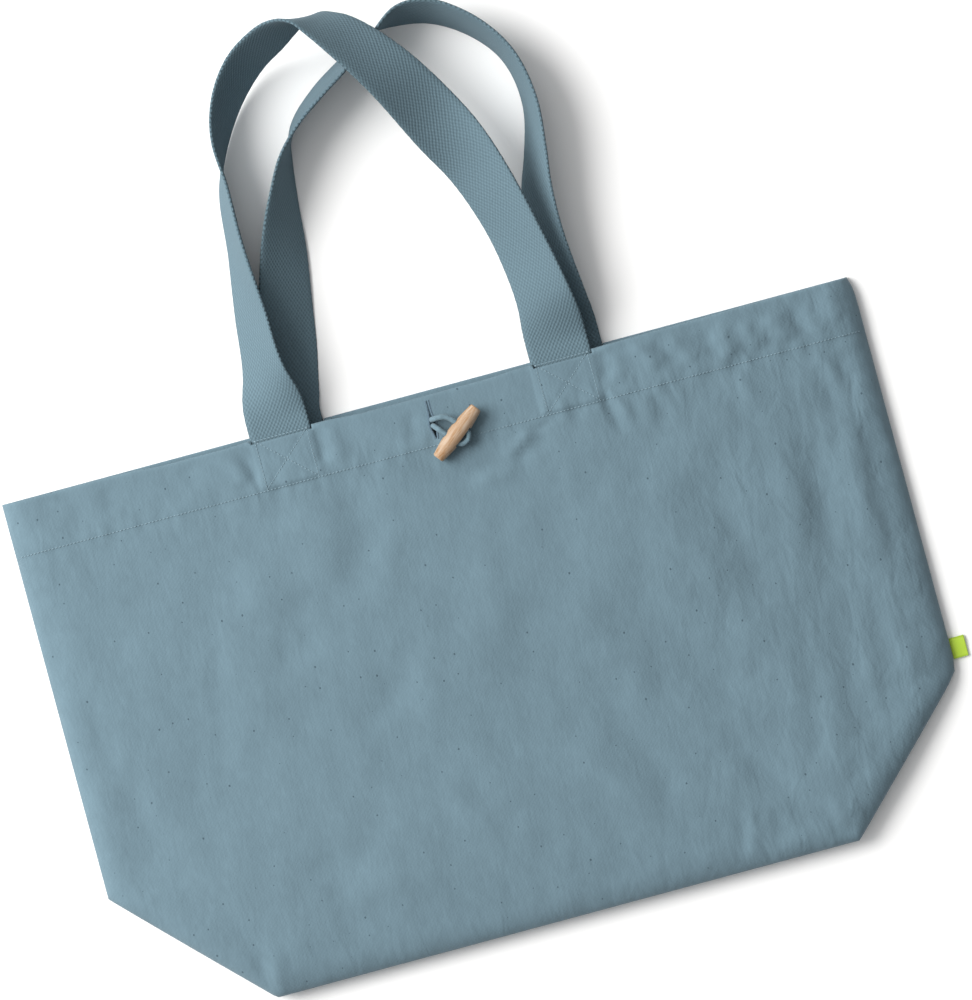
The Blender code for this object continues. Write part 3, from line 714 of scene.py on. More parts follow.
def slit_opening(down):
    """Width of the buttonhole: a thin line at its ends, open where the cord passes."""
    place = (down - SLIT_DOWN) / (SLIT_LENGTH / 2)
    if abs(place) >= 1:
        return 0.0
    return SLIT_WIDTH + SLIT_SWELL * math.exp(-((place - SLIT_CORD) / SLIT_CORD_REACH) ** 2)


# Materials

def hex_colour(code):
    """Linear colour of an sRGB hex value."""
    parts = [int(code[place:place + 2], 16) / 255 for place in (0, 2, 4)]
    linear = [part / 12.92 if part <= 0.04045 else ((part + 0.055) / 1.055) ** 2.4
              for part in parts]
    return (*linear, 1.0)


def add_node(tree, kind, values=None, **settings):
    """A node with its settings, each input given a value, an output or a node's first output."""
    node = tree.nodes.new(kind)
    for name, value in settings.items():
        setattr(node, name, value)
    for socket, value in (values or {}).items():
        if isinstance(value, bpy.types.Node):
            value = value.outputs[0]
        if isinstance(value, bpy.types.NodeSocket):
            tree.links.new(value, node.inputs[socket])
        else:
            node.inputs[socket].default_value = value
    return node


def shade(colour, share):
    """A colour made darker or lighter by a share."""
    return tuple(min(1.0, part * share) for part in colour[:3]) + (1.0,)


def new_material(name, colour, roughness, sheen, specular):
    """A material with its fixed values."""
    made = bpy.data.materials.new(name)
    made.use_nodes = True
    shader = made.node_tree.nodes["Principled BSDF"]
    shader.inputs["Base Color"].default_value = hex_colour(colour)
    shader.inputs["Roughness"].default_value = roughness
    shader.inputs["Sheen Weight"].default_value = sheen
    shader.inputs["Specular IOR Level"].default_value = specular
    return made


def finished(made, tone, relief):
    """The material with its tone, and its relief: height, strength and depth in mm of each."""
    tree = made.node_tree
    shader = tree.nodes["Principled BSDF"]
    tree.links.new(tone, shader.inputs["Base Color"])
    under = {}
    for height, strength, depth in relief:
        normal = add_node(tree, "ShaderNodeBump", {
            "Height": height, "Strength": strength, "Distance": depth * MM, **under})
        under = {"Normal": normal}
    for normal in under.values():
        tree.links.new(normal.outputs[0], shader.inputs["Normal"])
    return made


def cloth_place(tree):
    """Place along the cloth in mm, from the piece's own map in metres."""
    source = add_node(tree, "ShaderNodeUVMap", uv_map="cloth")
    return add_node(tree, "ShaderNodeMapping", {"Vector": source, "Scale": (1000, 1000, 1000)})


def object_place(tree):
    """Place in the object's own frame, in metres."""
    return add_node(tree, "ShaderNodeTexCoord").outputs["Object"]


def interlace(tree, place, across, along):
    """Height of a weave: staggered dots of the two pitches in mm."""
    split = add_node(tree, "ShaderNodeSeparateXYZ", {0: place})
    waves = []
    for output, pitch in zip(split.outputs, (across, along)):
        turns = add_node(tree, "ShaderNodeMath", {0: output, 1: 2 * math.pi / pitch},
                         operation="MULTIPLY")
        waves.append(add_node(tree, "ShaderNodeMath", {0: turns}, operation="SINE"))
    return add_node(tree, "ShaderNodeMath", {0: waves[0], 1: waves[1]}, operation="MULTIPLY")


def mottle(tree, place, often, **values):
    """Soft patches on a place, so often per unit of it in each direction."""
    stretched = add_node(tree, "ShaderNodeMapping", {"Vector": place, "Scale": often})
    return add_node(tree, "ShaderNodeTexNoise", {"Vector": stretched, "Scale": 1.0, **values})


def two_tones(tree, value, low, high, first, second, most=1.0):
    """The first colour where the value is low, and up to so much of the second where high."""
    share = add_node(tree, "ShaderNodeMapRange", {
        "Value": value, "From Min": low, "From Max": high, "To Max": most})
    return add_node(tree, "ShaderNodeMix", {0: share, 6: first, 7: second},
                    data_type="RGBA").outputs[2]


def woven_canvas(name, colour):
    """Washed plain weave cotton canvas: matt, softly mottled, with slubs and dark seed flecks.

    It is woven of spun cotton, dyed, washed and crumpled. The real threads are about
    0.6 mm apart. They are drawn 1.3 mm apart, so that they show.
    """
    made = new_material(name, colour, 0.92, 0.12, 0.15)
    tree = made.node_tree
    place = cloth_place(tree)
    base = hex_colour(colour)
    # Slubs about 2 by 9 mm, and patches about 20 by 30 mm left by the wash
    slubs = mottle(tree, place, (0.55, 0.11, 1), Detail=4.0, Roughness=0.7)
    wash = mottle(tree, place, (0.05, 0.035, 1), Detail=5.0, Roughness=0.65)
    both = add_node(tree, "ShaderNodeMath", {0: slubs, 1: wash}, operation="ADD")
    tone = two_tones(tree, both, 0.72, 1.28, shade(base, 0.92), shade(base, 1.08))

    # Seed flecks in a little under half of the cells, which are about 13 mm apart
    cells = add_node(tree, "ShaderNodeMapping", {"Vector": place, "Scale": (0.085, 0.07, 1)})
    seeds = add_node(tree, "ShaderNodeTexVoronoi", {"Vector": cells, "Scale": 1.0},
                     voronoi_dimensions="2D")
    chance = add_node(tree, "ShaderNodeSeparateXYZ", {0: seeds.outputs["Color"]})
    kept = add_node(tree, "ShaderNodeMath", {0: chance, 1: 0.55}, operation="GREATER_THAN")
    size = add_node(tree, "ShaderNodeMath", {0: chance.outputs[1], 1: 0.052},
                    operation="MULTIPLY")
    fleck = add_node(tree, "ShaderNodeMath", {0: seeds.outputs["Distance"], 1: size},
                     operation="LESS_THAN")
    fleck = add_node(tree, "ShaderNodeMath", {0: fleck, 1: kept}, operation="MULTIPLY")
    tone = two_tones(tree, fleck, 0.0, 1.0, tone, hex_colour("32424B"), 0.7)

    # Wrinkles about 12 by 25 mm, where the cloth is crumpled
    amount = add_node(tree, "ShaderNodeAttribute", attribute_name="crumple").outputs["Fac"]
    wrinkles = mottle(tree, place, (0.085, 0.040, 1), Detail=2.0, Roughness=0.45, Distortion=0.5)
    raised = add_node(tree, "ShaderNodeMath", {0: wrinkles, 1: amount}, operation="MULTIPLY")
    weave = interlace(tree, place, 2.6, 2.6)
    return finished(made, tone, [(raised, 1.0, 1.7), (slubs, 0.5, 0.4), (weave, 0.25, 0.1)])


def woven_webbing(name, colour):
    """Heavy cotton webbing, woven on a narrow loom: matt, with rows of short raised threads.

    The real rows are about 1.3 mm apart. They are drawn 1.2 mm apart across the webbing
    and 1.65 mm along it, and stray a little. At the selvedges, where the weft turns back,
    small notches are painted dark as shade.
    """
    made = new_material(name, colour, 0.92, 0.04, 0.08)
    tree = made.node_tree
    place = cloth_place(tree)
    base = hex_colour(colour)
    stray = mottle(tree, place, (0.25, 0.12, 1), Detail=2.0)
    shift = add_node(tree, "ShaderNodeVectorMath", {
        0: stray.outputs["Color"], 1: (0.8, 1.2, 0.0)}, operation="MULTIPLY")
    shifted = add_node(tree, "ShaderNodeVectorMath", {0: place, 1: shift}, operation="ADD")
    dots = interlace(tree, shifted, 2.4, 3.3)
    fuzz = mottle(tree, place, (1.1, 0.6, 1), Detail=3.0)
    blotch = add_node(tree, "ShaderNodeMath", {0: fuzz, 1: 1.6, 2: dots},
                      operation="MULTIPLY_ADD")
    tone = two_tones(tree, blotch, -0.3, 1.9, shade(base, 0.78), shade(base, 1.16))

    # Painted shade: small dark notches along the selvedges, where the weft turns back
    edge = add_node(tree, "ShaderNodeAttribute", attribute_name="selvedge").outputs["Fac"]
    split = add_node(tree, "ShaderNodeSeparateXYZ", {0: place})
    turns = add_node(tree, "ShaderNodeMath", {
        0: split.outputs[1], 1: 2 * math.pi * MM / SELVEDGE_PITCH}, operation="MULTIPLY")
    selvedge_notch_shade = add_node(tree, "ShaderNodeMath", {0: turns}, operation="SINE")
    selvedge_notch_shade = add_node(tree, "ShaderNodeMapRange", {"Value": selvedge_notch_shade, "From Max": 0.8,
                                                  "To Max": 0.7})
    selvedge_notch_shade = add_node(tree, "ShaderNodeMath", {0: edge, 1: selvedge_notch_shade}, operation="MULTIPLY")
    tone = two_tones(tree, selvedge_notch_shade, 0.0, 1.0, tone, shade(base, 0.35))
    return finished(made, tone, [(fuzz, 0.4, 0.3), (dots, 0.5, 0.3)])


def cotton_tube(name, colour):
    """Narrow tube sewn of the same canvas and turned inside out: matt, with a slanted weave.

    The threads are drawn 0.5 mm apart, close to the real ones.
    """
    made = new_material(name, colour, 0.92, 0.12, 0.15)
    tree = made.node_tree
    base = hex_colour(colour)
    slanted = add_node(tree, "ShaderNodeMapping", {"Vector": cloth_place(tree),
                                                   "Rotation": (0, 0, math.pi / 4)})
    fuzz = add_node(tree, "ShaderNodeTexNoise", {"Vector": slanted, "Scale": 0.7, "Detail": 3.0})
    tone = two_tones(tree, fuzz, 0.3, 0.7, shade(base, 0.86), shade(base, 1.12))
    return finished(made, tone, [(interlace(tree, slanted, 1.0, 1.0), 0.4, 0.2)])


def sewing_thread(name, colour):
    """Spun cotton sewing thread dyed like the cloth: matt, with fine fuzz in two tones."""
    made = new_material(name, colour, 0.80, 0.15, 0.25)
    tree = made.node_tree
    base = hex_colour(colour)
    fuzz = add_node(tree, "ShaderNodeTexNoise", {"Vector": object_place(tree),
                                                 "Scale": 2200.0, "Detail": 2.0})
    tone = two_tones(tree, fuzz, 0.3, 0.65, shade(base, 0.80), base)
    return finished(made, tone, [(fuzz, 0.4, 0.1)])


def turned_beech(name, frame):
    """Pale beech, turned and sanded: satin, with long soft grain and small dark pores.

    Grain lines are about 1 mm wide and 11 mm long, broad bands 4 mm wide, pores 1 mm apart.
    """
    made = new_material(name, "B09A84", 0.66, 0.0, 0.25)
    tree = made.node_tree
    local = add_node(tree, "ShaderNodeMapping", {
        "Vector": object_place(tree), "Location": frame.translation,
        "Rotation": frame.to_euler()}, vector_type="TEXTURE")
    grain = mottle(tree, local, (1100, 1100, 90), Detail=4.0, Roughness=0.6, Distortion=0.4)
    tone = two_tones(tree, grain, 0.34, 0.66, hex_colour("96704A"), hex_colour("AE9984"))
    bands = mottle(tree, local, (260, 260, 22), Detail=2.0)
    tone = two_tones(tree, bands, 0.4, 0.65, tone, hex_colour("B7A592"), 0.60)
    cells = add_node(tree, "ShaderNodeMapping", {"Vector": local, "Scale": (900, 900, 160)})
    pores = add_node(tree, "ShaderNodeTexVoronoi", {"Vector": cells, "Scale": 1.0})
    tone = two_tones(tree, pores.outputs["Distance"], 0.16, 0.06, tone, hex_colour("815635"),
                     0.45)
    return finished(made, tone, [(grain, 0.25, 0.2)])


def green_ribbon(name):
    """Lime green polyester ribbon, woven fine: satin and bare, with darker selvedges.

    The threads are drawn 0.4 mm apart, about twice as coarse as real ones, so that they show.
    """
    made = new_material(name, "AED041", 0.62, 0.1, 0.30)
    tree = made.node_tree
    place = cloth_place(tree)
    weave = interlace(tree, place, 0.8, 0.8)
    tone = two_tones(tree, weave, -1.0, 1.0, hex_colour("A6C536"), hex_colour("BDDC4E"))
    split = add_node(tree, "ShaderNodeSeparateXYZ", {0: place})
    off_middle = add_node(tree, "ShaderNodeMath", {0: split.outputs[1]}, operation="ABSOLUTE")
    half = LABEL_TALL / MM / 2
    tone = two_tones(tree, off_middle, half - 1.3, half - 0.7, tone, hex_colour("8CAF20"), 0.5)
    return finished(made, tone, [(weave, 0.4, 0.15)])


def pale_floor(name):
    """Matt white studio paper with the faintest mottling."""
    made = new_material(name, "F8F8F8", 0.95, 0.0, 0.1)
    tree = made.node_tree
    cloud = add_node(tree, "ShaderNodeTexNoise", {"Vector": object_place(tree), "Scale": 3.0})
    tone = two_tones(tree, cloud, 0.0, 1.0, hex_colour("F6F6F6"), hex_colour("F8F8F8"))
    return finished(made, tone, [])


# Meshes

def add_object(name, data):
    """An object in the scene that shows the data."""
    made = bpy.data.objects.new(name, data)
    bpy.context.scene.collection.objects.link(made)
    return made


def add_piece(name, shape, finish, smooth_angle=180):
    """An object made of a bmesh, with its material, shaded smooth."""
    mesh = bpy.data.meshes.new(name)
    shape.to_mesh(mesh)
    shape.free()
    mesh.materials.append(finish)
    mesh.shade_smooth()
    if smooth_angle < 180:
        mesh.set_sharp_from_angle(angle=math.radians(smooth_angle))
    return add_object(name, mesh)


def settle(thing):
    """Turn an object's evaluated shape into its plain mesh, without modifiers."""
    graph = bpy.context.evaluated_depsgraph_get()
    mesh = bpy.data.meshes.new_from_object(thing.evaluated_get(graph))
    thing.modifiers.clear()
    thing.data = mesh
    mesh.name = thing.name


def loft(rings, along, around, closed):
    """Skin over rings of points with its map: places along it and round it in metres."""
    shape = bmesh.new()
    chart = shape.loops.layers.uv.new("cloth")
    grid = [[shape.verts.new(point) for point in ring] for ring in rings]
    size = len(rings[0])
    count = size if closed else size - 1
    for row in range(len(rings) - 1):
        for index in range(count):
            after = (index + 1) % size
            face = shape.faces.new((grid[row][index], grid[row][after],
                                    grid[row + 1][after], grid[row + 1][index]))
            corners = ((row, index), (row, index + 1), (row + 1, index + 1), (row + 1, index))
            for loop, (ring, place) in zip(face.loops, corners):
                loop[chart].uv = (around[place], along[ring])
    if closed:
        for ring in (grid[0], list(reversed(grid[-1]))):
            shape.faces.new(ring)
    bmesh.ops.recalc_face_normals(shape, faces=shape.faces[:])
    return shape


def pulled_in(x):
    """Place across of a turned-in hem layer, which ends a little inside the side seam."""
    start = HALF_WIDTH - EDGE_PULL_IN
    return math.copysign(min(abs(x), start + (abs(x) - start) * HEM_SLACK), x)


def right_corner(down):
    """How far the right edge is rounded off, at the mouth's corner and the slant's start."""
    mouth = CORNER_PULL * math.exp(-(max(down, 0.0) / CORNER_REACH) ** 1.5)
    return mouth + SLANT_PULL * math.exp(-((down - BAG_HEIGHT + TUCK) / SLANT_REACH) ** 2)


def trimmed(point):
    """A point of the cloth kept inside the bag's outline, and above the floor."""
    y = clamp(point.y, -MOUTH_Y, MOUTH_Y)
    down = MOUTH_Y - y
    limit = min(HALF_WIDTH, BAG_HEIGHT - TUCK + HALF_WIDTH - down)
    if point.x > 0:
        limit -= right_corner(down)
    return Vector((clamp(point.x, -limit, limit), y, max(point.z, 0.0)))


def crumple_at(x, down):
    """How crumpled the cloth is: most in its right third, at the hem and at the seams."""
    right = smooth_step((x - CRUMPLE_FROM) / CRUMPLE_GROWTH)
    hem = math.exp(-((down - HEM_SEW) / CRUMPLE_HEM_REACH) ** 2)
    seam = math.exp(-(rim_distance(x, down) / CRUMPLE_SEAM_REACH) ** 2)
    more = CRUMPLE_RIGHT * right + CRUMPLE_HEM * hem + CRUMPLE_SEAM * seam
    return clamp(CRUMPLE + more, 0.0, 1.0)


# Rims of the cloth at the side seams: how far out each lies, and its share of the way
# from the section's height to the height where front and back meet
SIDE_RIMS = {1: (HALF_WIDTH, 0.6), 2: (HALF_WIDTH - LIP, 0.97)}


def cloth_lines(rows, columns):
    """Lines down the cloth, their points across, down and up, and the map's place of each."""
    lines = []
    chart_across = []
    for side, place in columns:
        x = side * HALF_WIDTH if side else place
        line = []
        for kind, share in rows:
            down, height = cloth_section(x, kind, share)
            x_here = x
            if side:
                reach, nearness = SIDE_RIMS[place]
                x_here = side * reach
                height = blend(height, SEAM_MEET, nearness)
            if kind in ("front_hem", "back_hem"):
                x_here = pulled_in(x_here)
            if x > 0:
                near = smooth_step((x_here - HALF_WIDTH + EDGE_PULL_IN) / EDGE_PULL_IN)
                x_here -= near * right_corner(down)
            line.append((x_here, down, height))
        lines.append(line)
        chart_across.append(x + side * place * LIP if side else x)
    return lines, chart_across


def open_slit(lines, chart_across, slit, rows):
    """Part the cloth on the buttonhole's line, and draw the lines beside it a little apart."""
    lines.insert(slit + 1, list(lines[slit]))
    chart_across.insert(slit + 1, chart_across[slit])
    for offset in range(SLIT_SPREAD):
        fade = 1 - offset / SLIT_SPREAD
        for line, turn in ((lines[slit - offset], -0.5), (lines[slit + 1 + offset], 0.5)):
            for index, (kind, _) in enumerate(rows):
                if kind in ("front_top", "front_hem"):
                    x, down, height = line[index]
                    line[index] = (x + turn * fade * slit_opening(down), down, height)


def lengths_down(line, start):
    """Lengths along a line of the cloth, measured from its point at the start's index."""
    run = [0.0]
    for before, after in zip(line, line[1:]):
        run.append(run[-1] + math.dist(before[1:], after[1:]))
    return [length - run[start] for length in run]


def left_open(kinds, x, down, on_slit):
    """Whether the cloth has no face here: at a handle's foot in the mouth, or in the slit."""
    for roll, shift in (("front_roll", FRONT_SHIFT), ("back_roll", BACK_SHIFT)):
        if roll in kinds and min(abs(x - foot) for foot in foot_places(shift)) < STRAP_WIDTH / 2:
            return True
    return on_slit and kinds <= {"front_top", "front_hem"} and slit_opening(down) > 0


def folded_sheet():
    """The bag as one folded sheet without thickness: hems, front, tucked-in base and back."""
    rows = cloth_rows()
    columns = [(-1, 2), (-1, 1)] + [(0, x) for x in cloth_columns()] + [(1, 1), (1, 2)]
    slit = columns.index((0, SLIT_ACROSS))
    lines, chart_across = cloth_lines(rows, columns)
    open_slit(lines, chart_across, slit, rows)
    mouth = rows.index(("front_top", 0.0))
    lengths = [lengths_down(line, mouth) for line in lines]

    shape = bmesh.new()
    chart = shape.loops.layers.uv.new("cloth")
    crumple = shape.verts.layers.float.new("crumple")
    grid = []
    for line in lines:
        grid.append([shape.verts.new((x, MOUTH_Y - down, height)) for x, down, height in line])
        for vert, (x, down, _) in zip(grid[-1], line):
            vert[crumple] = crumple_at(x, down)
    for column in range(len(lines) - 1):
        for row in range(len(rows) - 1):
            kinds = {rows[row][0], rows[row + 1][0]}
            x = (lines[column][row][0] + lines[column + 1][row][0]) / 2
            down = (lines[column][row][1] + lines[column][row + 1][1]) / 2
            if left_open(kinds, x, down, column == slit):
                continue
            corners = ((column, row), (column, row + 1), (column + 1, row + 1), (column + 1, row))
            face = shape.faces.new([grid[c][r] for c, r in corners])
            for loop, (c, r) in zip(face.loops, corners):
                loop[chart].uv = (chart_across[c], lengths[c][r])
    return shape


def make_cloth(finish):
    """The folded sheet, cleaned of doubles and given its thickness inwards."""
    shape = folded_sheet()
    bmesh.ops.remove_doubles(shape, verts=shape.verts[:], dist=0.02 * MM)
    bmesh.ops.dissolve_degenerate(shape, edges=shape.edges[:], dist=0.01 * MM)
    loose = [vert for vert in shape.verts if not vert.link_faces]
    bmesh.ops.delete(shape, geom=loose, context="VERTS")
    shape.normal_update()
    crown = max(shape.faces, key=lambda face: face.calc_center_median().z)
    if crown.normal.z < 0:
        bmesh.ops.reverse_faces(shape, faces=shape.faces[:])
    cloth = add_piece("bag_cloth", shape, finish)
    wall = cloth.modifiers.new("wall", "SOLIDIFY")
    wall.thickness = CLOTH
    wall.offset = -1.0
    settle(cloth)
    for vert in cloth.data.vertices:
        vert.co = trimmed(vert.co)
    return cloth


# The handles

def row_gap(rows, index):
    """Distance from a row's middle to the next one's."""
    return (Vector(rows[index + 1][:3]) - Vector(rows[index][:3])).length


def row_slope(rows, index):
    """Change per metre along the path at a row, from the rows on both sides."""
    if index in (0, len(rows) - 1):
        start = min(index, len(rows) - 2)
        gap = row_gap(rows, start)
        return [(q - p) / gap for p, q in zip(rows[start], rows[start + 1])]
    back = row_gap(rows, index - 1)
    ahead = row_gap(rows, index)
    slope = []
    for p, q, r in zip(rows[index - 1], rows[index], rows[index + 1]):
        slope.append(((q - p) / back * ahead + (r - q) / ahead * back) / (back + ahead))
    return slope


def smooth_point(rows, index, share):
    """Point between two rows on a smooth curve through all rows."""
    gap = row_gap(rows, index)
    slopes = zip(row_slope(rows, index), row_slope(rows, index + 1))
    return [smooth_curve(start, end, gap * leave, gap * arrive, share)
            for start, end, (leave, arrive) in zip(rows[index], rows[index + 1], slopes)]


def smooth_path(rows, spacing):
    """Points at about the spacing on the smooth curve through the rows."""
    path = []
    for index in range(len(rows) - 1):
        count = max(1, round(row_gap(rows, index) / spacing))
        path += [smooth_point(rows, index, step / count) for step in range(count)]
    path.append(list(rows[-1]))
    return path


def strap_sections(table, shift, foot):
    """All sections of a handle: middle, plan direction and tilt, foot to foot."""
    rows = []
    for across, up, height, turn, tilt in table:
        rows.append((shift + across * STRAP_SPACING / 2, MOUTH_Y + up * STRAP_RISE,
                     height * STRAP_WIDTH, math.radians(turn), math.radians(tilt)))
    downs = (STRAP_TAIL, STRAP_TAIL / 2, 0.0, -STRAP_STRAIGHT / 2, -STRAP_STRAIGHT)
    left = [foot(shift - STRAP_SPACING / 2, down, True) for down in downs]
    right = [foot(shift + STRAP_SPACING / 2, down, False) for down in reversed(downs)]
    return left + rows + right


def front_foot(x, down, left):
    """Section of the front handle's foot, under the front cloth."""
    place = max(down, MOUTH_RECESS)
    half = STRAP_WIDTH / 2
    drop = CANVAS + 2 * GAP + STRAP_THICK / 2
    low = front_height(x - half, place) - drop
    high = front_height(x + half, place) - drop
    tilt = math.atan2(high - low, STRAP_WIDTH)
    slope = (front_height(x, place + STRAP_TAIL / 4) - front_height(x, place)) / (STRAP_TAIL / 4)
    height = (low + high) / 2 + (down - place) * slope * (down < place)
    return (x, MOUTH_Y - down, height, 0.0, tilt if left else math.pi + tilt)


def back_foot(x, down, left):
    """Section of the back handle's foot, flat on the back panel."""
    return (x, MOUTH_Y - down, CANVAS + GAP + STRAP_THICK / 2, math.pi if left else 0.0, 0.0)


def along_path(points):
    """Each point of a path, with the way ahead there and the length up to it."""
    run = 0.0
    for index, point in enumerate(points):
        before = points[max(index - 1, 0)]
        after = points[min(index + 1, len(points) - 1)]
        if index:
            run += (point - before).length
        yield point, after - before, run


def lengths_round(outline):
    """Lengths round a closed outline, from its first point back to it."""
    around = [0.0]
    for before, after in zip(outline, outline[1:] + outline[:1]):
        around.append(around[-1] + math.dist(before, after))
    return around


def strap_outline():
    """Section of the webbing: two flat faces, and a rounded selvedge on each side."""
    half = STRAP_WIDTH / 2
    thick = STRAP_THICK / 2
    inner = [-half + SELVEDGE + (STRAP_WIDTH - 2 * SELVEDGE) * step / 12 for step in range(13)]
    shoulder = half - SELVEDGE_ROUND
    outline = [(place, thick) for place in inner]
    outline += [(shoulder, thick * 0.6), (half, 0.0), (shoulder, -thick * 0.6)]
    outline += [(place, -thick) for place in reversed(inner)]
    return outline + [(-shoulder, -thick * 0.6), (-half, 0.0), (-shoulder, thick * 0.6)]


def make_strap(name, sections, seed, finish):
    """Webbing with a slightly bowed face, rounded selvedges and small scallops."""
    path = smooth_path(sections, STRAP_RING)
    half = STRAP_WIDTH / 2
    outline = strap_outline()
    rings = []
    along = []
    middles = [Vector(row[:3]) for row in path]
    for (middle, ahead, run), (*_, turn, tilt) in zip(along_path(middles), path):
        along.append(run)
        across = Vector((math.cos(tilt) * math.cos(turn), math.cos(tilt) * math.sin(turn),
                         math.sin(tilt)))
        face = ahead.cross(across).normalized()
        scallop = SELVEDGE_WAVE * math.sin(math.tau * run / SELVEDGE_PITCH)
        free = smooth_step((middle.y - MOUTH_Y - STRAP_HELD) / STRAP_FREE)
        ring = []
        for place, height in outline:
            edge = abs(place) / half
            reach = place + math.copysign(scallop, place) * (edge > 0.93)
            ripple = noise.noise(Vector((place * 40, run * 22, seed))) * STRAP_RIPPLE
            bow = (-STRAP_BOW * edge ** 2 + ripple) * free
            ring.append(middle + across * reach + face * (height + bow))
        rings.append(ring)
    shape = loft(rings, along, lengths_round(outline), True)
    layer = shape.verts.layers.float.new("selvedge")
    shape.verts.ensure_lookup_table()
    edge = {place for place, (across, _) in enumerate(outline) if abs(across) > half - SELVEDGE / 2}
    for index, vert in enumerate(shape.verts):
        vert[layer] = float(index % len(outline) in edge)
    return add_piece(name, shape, finish, 60)


# The toggle and its cord

def toggle_frame():
    """The toggle's place: local Z along it, local X along its holes."""
    along = Vector((math.cos(TOGGLE_TURN), math.sin(TOGGLE_TURN), 0.0))
    holes = Vector((math.sin(TOGGLE_TURN), -math.cos(TOGGLE_TURN), 0.0))
    up = along.cross(holes)
    height = front_height(TOGGLE_ACROSS, TOGGLE_DOWN) + 2 * GAP + TOGGLE_MIDDLE / 2
    frame = Matrix((holes, up, along)).transposed().to_4x4()
    frame.translation = (TOGGLE_ACROSS, MOUTH_Y - TOGGLE_DOWN, height)
    return frame


def round_cutter(name, radius, depth, place):
    """A cylinder that only cuts."""
    shape = bmesh.new()
    bmesh.ops.create_cone(shape, cap_ends=True, segments=40, radius1=radius, radius2=radius,
                          depth=depth)
    mesh = bpy.data.meshes.new(name)
    shape.to_mesh(mesh)
    shape.free()
    mesh.transform(place)
    return add_object(name, mesh)


def turned_barrel():
    """The toggle before it is drilled: rings from end to end, swelling to the middle."""
    half = TOGGLE_LENGTH / 2
    radius = TOGGLE_END / 2
    shoulder = half - TOGGLE_ROUND
    profile = [(0.0001, half), (radius - TOGGLE_ROUND, half), (radius, shoulder)]
    for step in range(1, 24):
        place = 1 - 2 * step / 24
        swell = radius + (TOGGLE_MIDDLE / 2 - radius) * math.cos(place * math.pi / 2)
        profile.append((swell, place * shoulder))
    profile += [(radius, -shoulder), (radius - TOGGLE_ROUND, -half), (0.0001, -half)]
    turns = [math.tau * side / TOGGLE_SIDES for side in range(TOGGLE_SIDES)]
    rings = [[(out * math.cos(turn), out * math.sin(turn), z) for turn in turns]
             for out, z in profile]
    return loft(rings, [0.0] * len(rings), [0.0] * (TOGGLE_SIDES + 1), True)


def make_toggle(finish):
    """A turned barrel with two cross holes and a scoop between them, sanded round."""
    toggle = add_piece("toggle_wood", turned_barrel(), finish)
    sideways = Matrix.Rotation(math.pi / 2, 4, "Y")
    cutters = []
    for side in (-1, 1):
        place = Matrix.Translation((0.0, 0.0, side * HOLE_SPACING / 2)) @ sideways
        cutters.append(round_cutter("hole_cutter", TOGGLE_HOLE / 2, TOGGLE_MIDDLE * 2, place))
    place = Matrix.Translation((SCOOP_FLOOR + SCOOP_RADIUS, 0.0, 0.0))
    cutters.append(round_cutter("scoop_cutter", SCOOP_RADIUS, HOLE_SPACING + TOGGLE_HOLE, place))
    for cutter in cutters:
        cut = toggle.modifiers.new("cut", "BOOLEAN")
        cut.operation = "DIFFERENCE"
        cut.object = cutter
    even = toggle.modifiers.new("even", "REMESH")
    even.mode = "VOXEL"
    even.voxel_size = TOGGLE_VOXEL
    sanded = toggle.modifiers.new("sanded", "SMOOTH")
    sanded.factor = 0.5
    sanded.iterations = 4
    settle(toggle)
    for cutter in cutters:
        bpy.data.objects.remove(cutter, do_unlink=True)
    toggle.data.transform(toggle_frame())
    toggle.data.materials.clear()
    toggle.data.materials.append(finish)
    toggle.data.shade_smooth()
    return toggle


def rising_bend(base, heading, level):
    """Quarter bend from upright to level, in the heading's direction."""
    points = []
    for step in range(4):
        turn = math.pi / 2 * step / 3
        out = CORD_BEND * (1 - math.cos(turn))
        up = level - CORD_BEND * (1 - math.sin(turn))
        points.append(base + heading * out + Vector((0.0, 0.0, up)))
    return points


def cord_route():
    """Points of the cord: up through the slit, round the toggle and down again."""
    frame = toggle_frame()
    foot = 2 * CANVAS + 2 * GAP
    level = frame.translation.z
    first = Vector((SLIT_ACROSS, MOUTH_Y - SLIT_DOWN, 0.0))
    second = first - Vector((0.0, CORD_PITCH, 0.0))
    side = HOLE_SPACING / 2
    entry = -TOGGLE_MIDDLE / 2
    near = frame @ Vector((entry, 0.0, side))
    far = frame @ Vector((entry, 0.0, -side))
    route = [first + Vector((0.0, 0.0, height)) for height in
             (foot, foot + CORD_LEAD, foot + 2 * CORD_LEAD, level - 1.5 * CORD_BEND)]
    route += rising_bend(first, Vector((1.0, 0.0, 0.0)), level)
    lead = first + Vector((CORD_BEND, 0.0, level))
    route.append((lead + near) / 2 + Vector((0.0, CORD_BOW, 0.0)))
    route += [near, frame @ Vector((0.0, 0.0, side))]
    for step in range(7):
        turn = math.pi * step / 6
        route.append(frame @ Vector((SCOOP_FLOOR + side * math.sin(turn), 0.0,
                                     side * math.cos(turn))))
    route += [frame @ Vector((0.0, 0.0, -side)), far]
    heading = (far - second - Vector((0.0, 0.0, level))).normalized()
    route += list(reversed(rising_bend(second, heading, level)))
    route += [second + Vector((0.0, 0.0, height)) for height in
              (level - 1.5 * CORD_BEND, foot + 2 * CORD_LEAD, foot + CORD_LEAD, foot)]
    return route


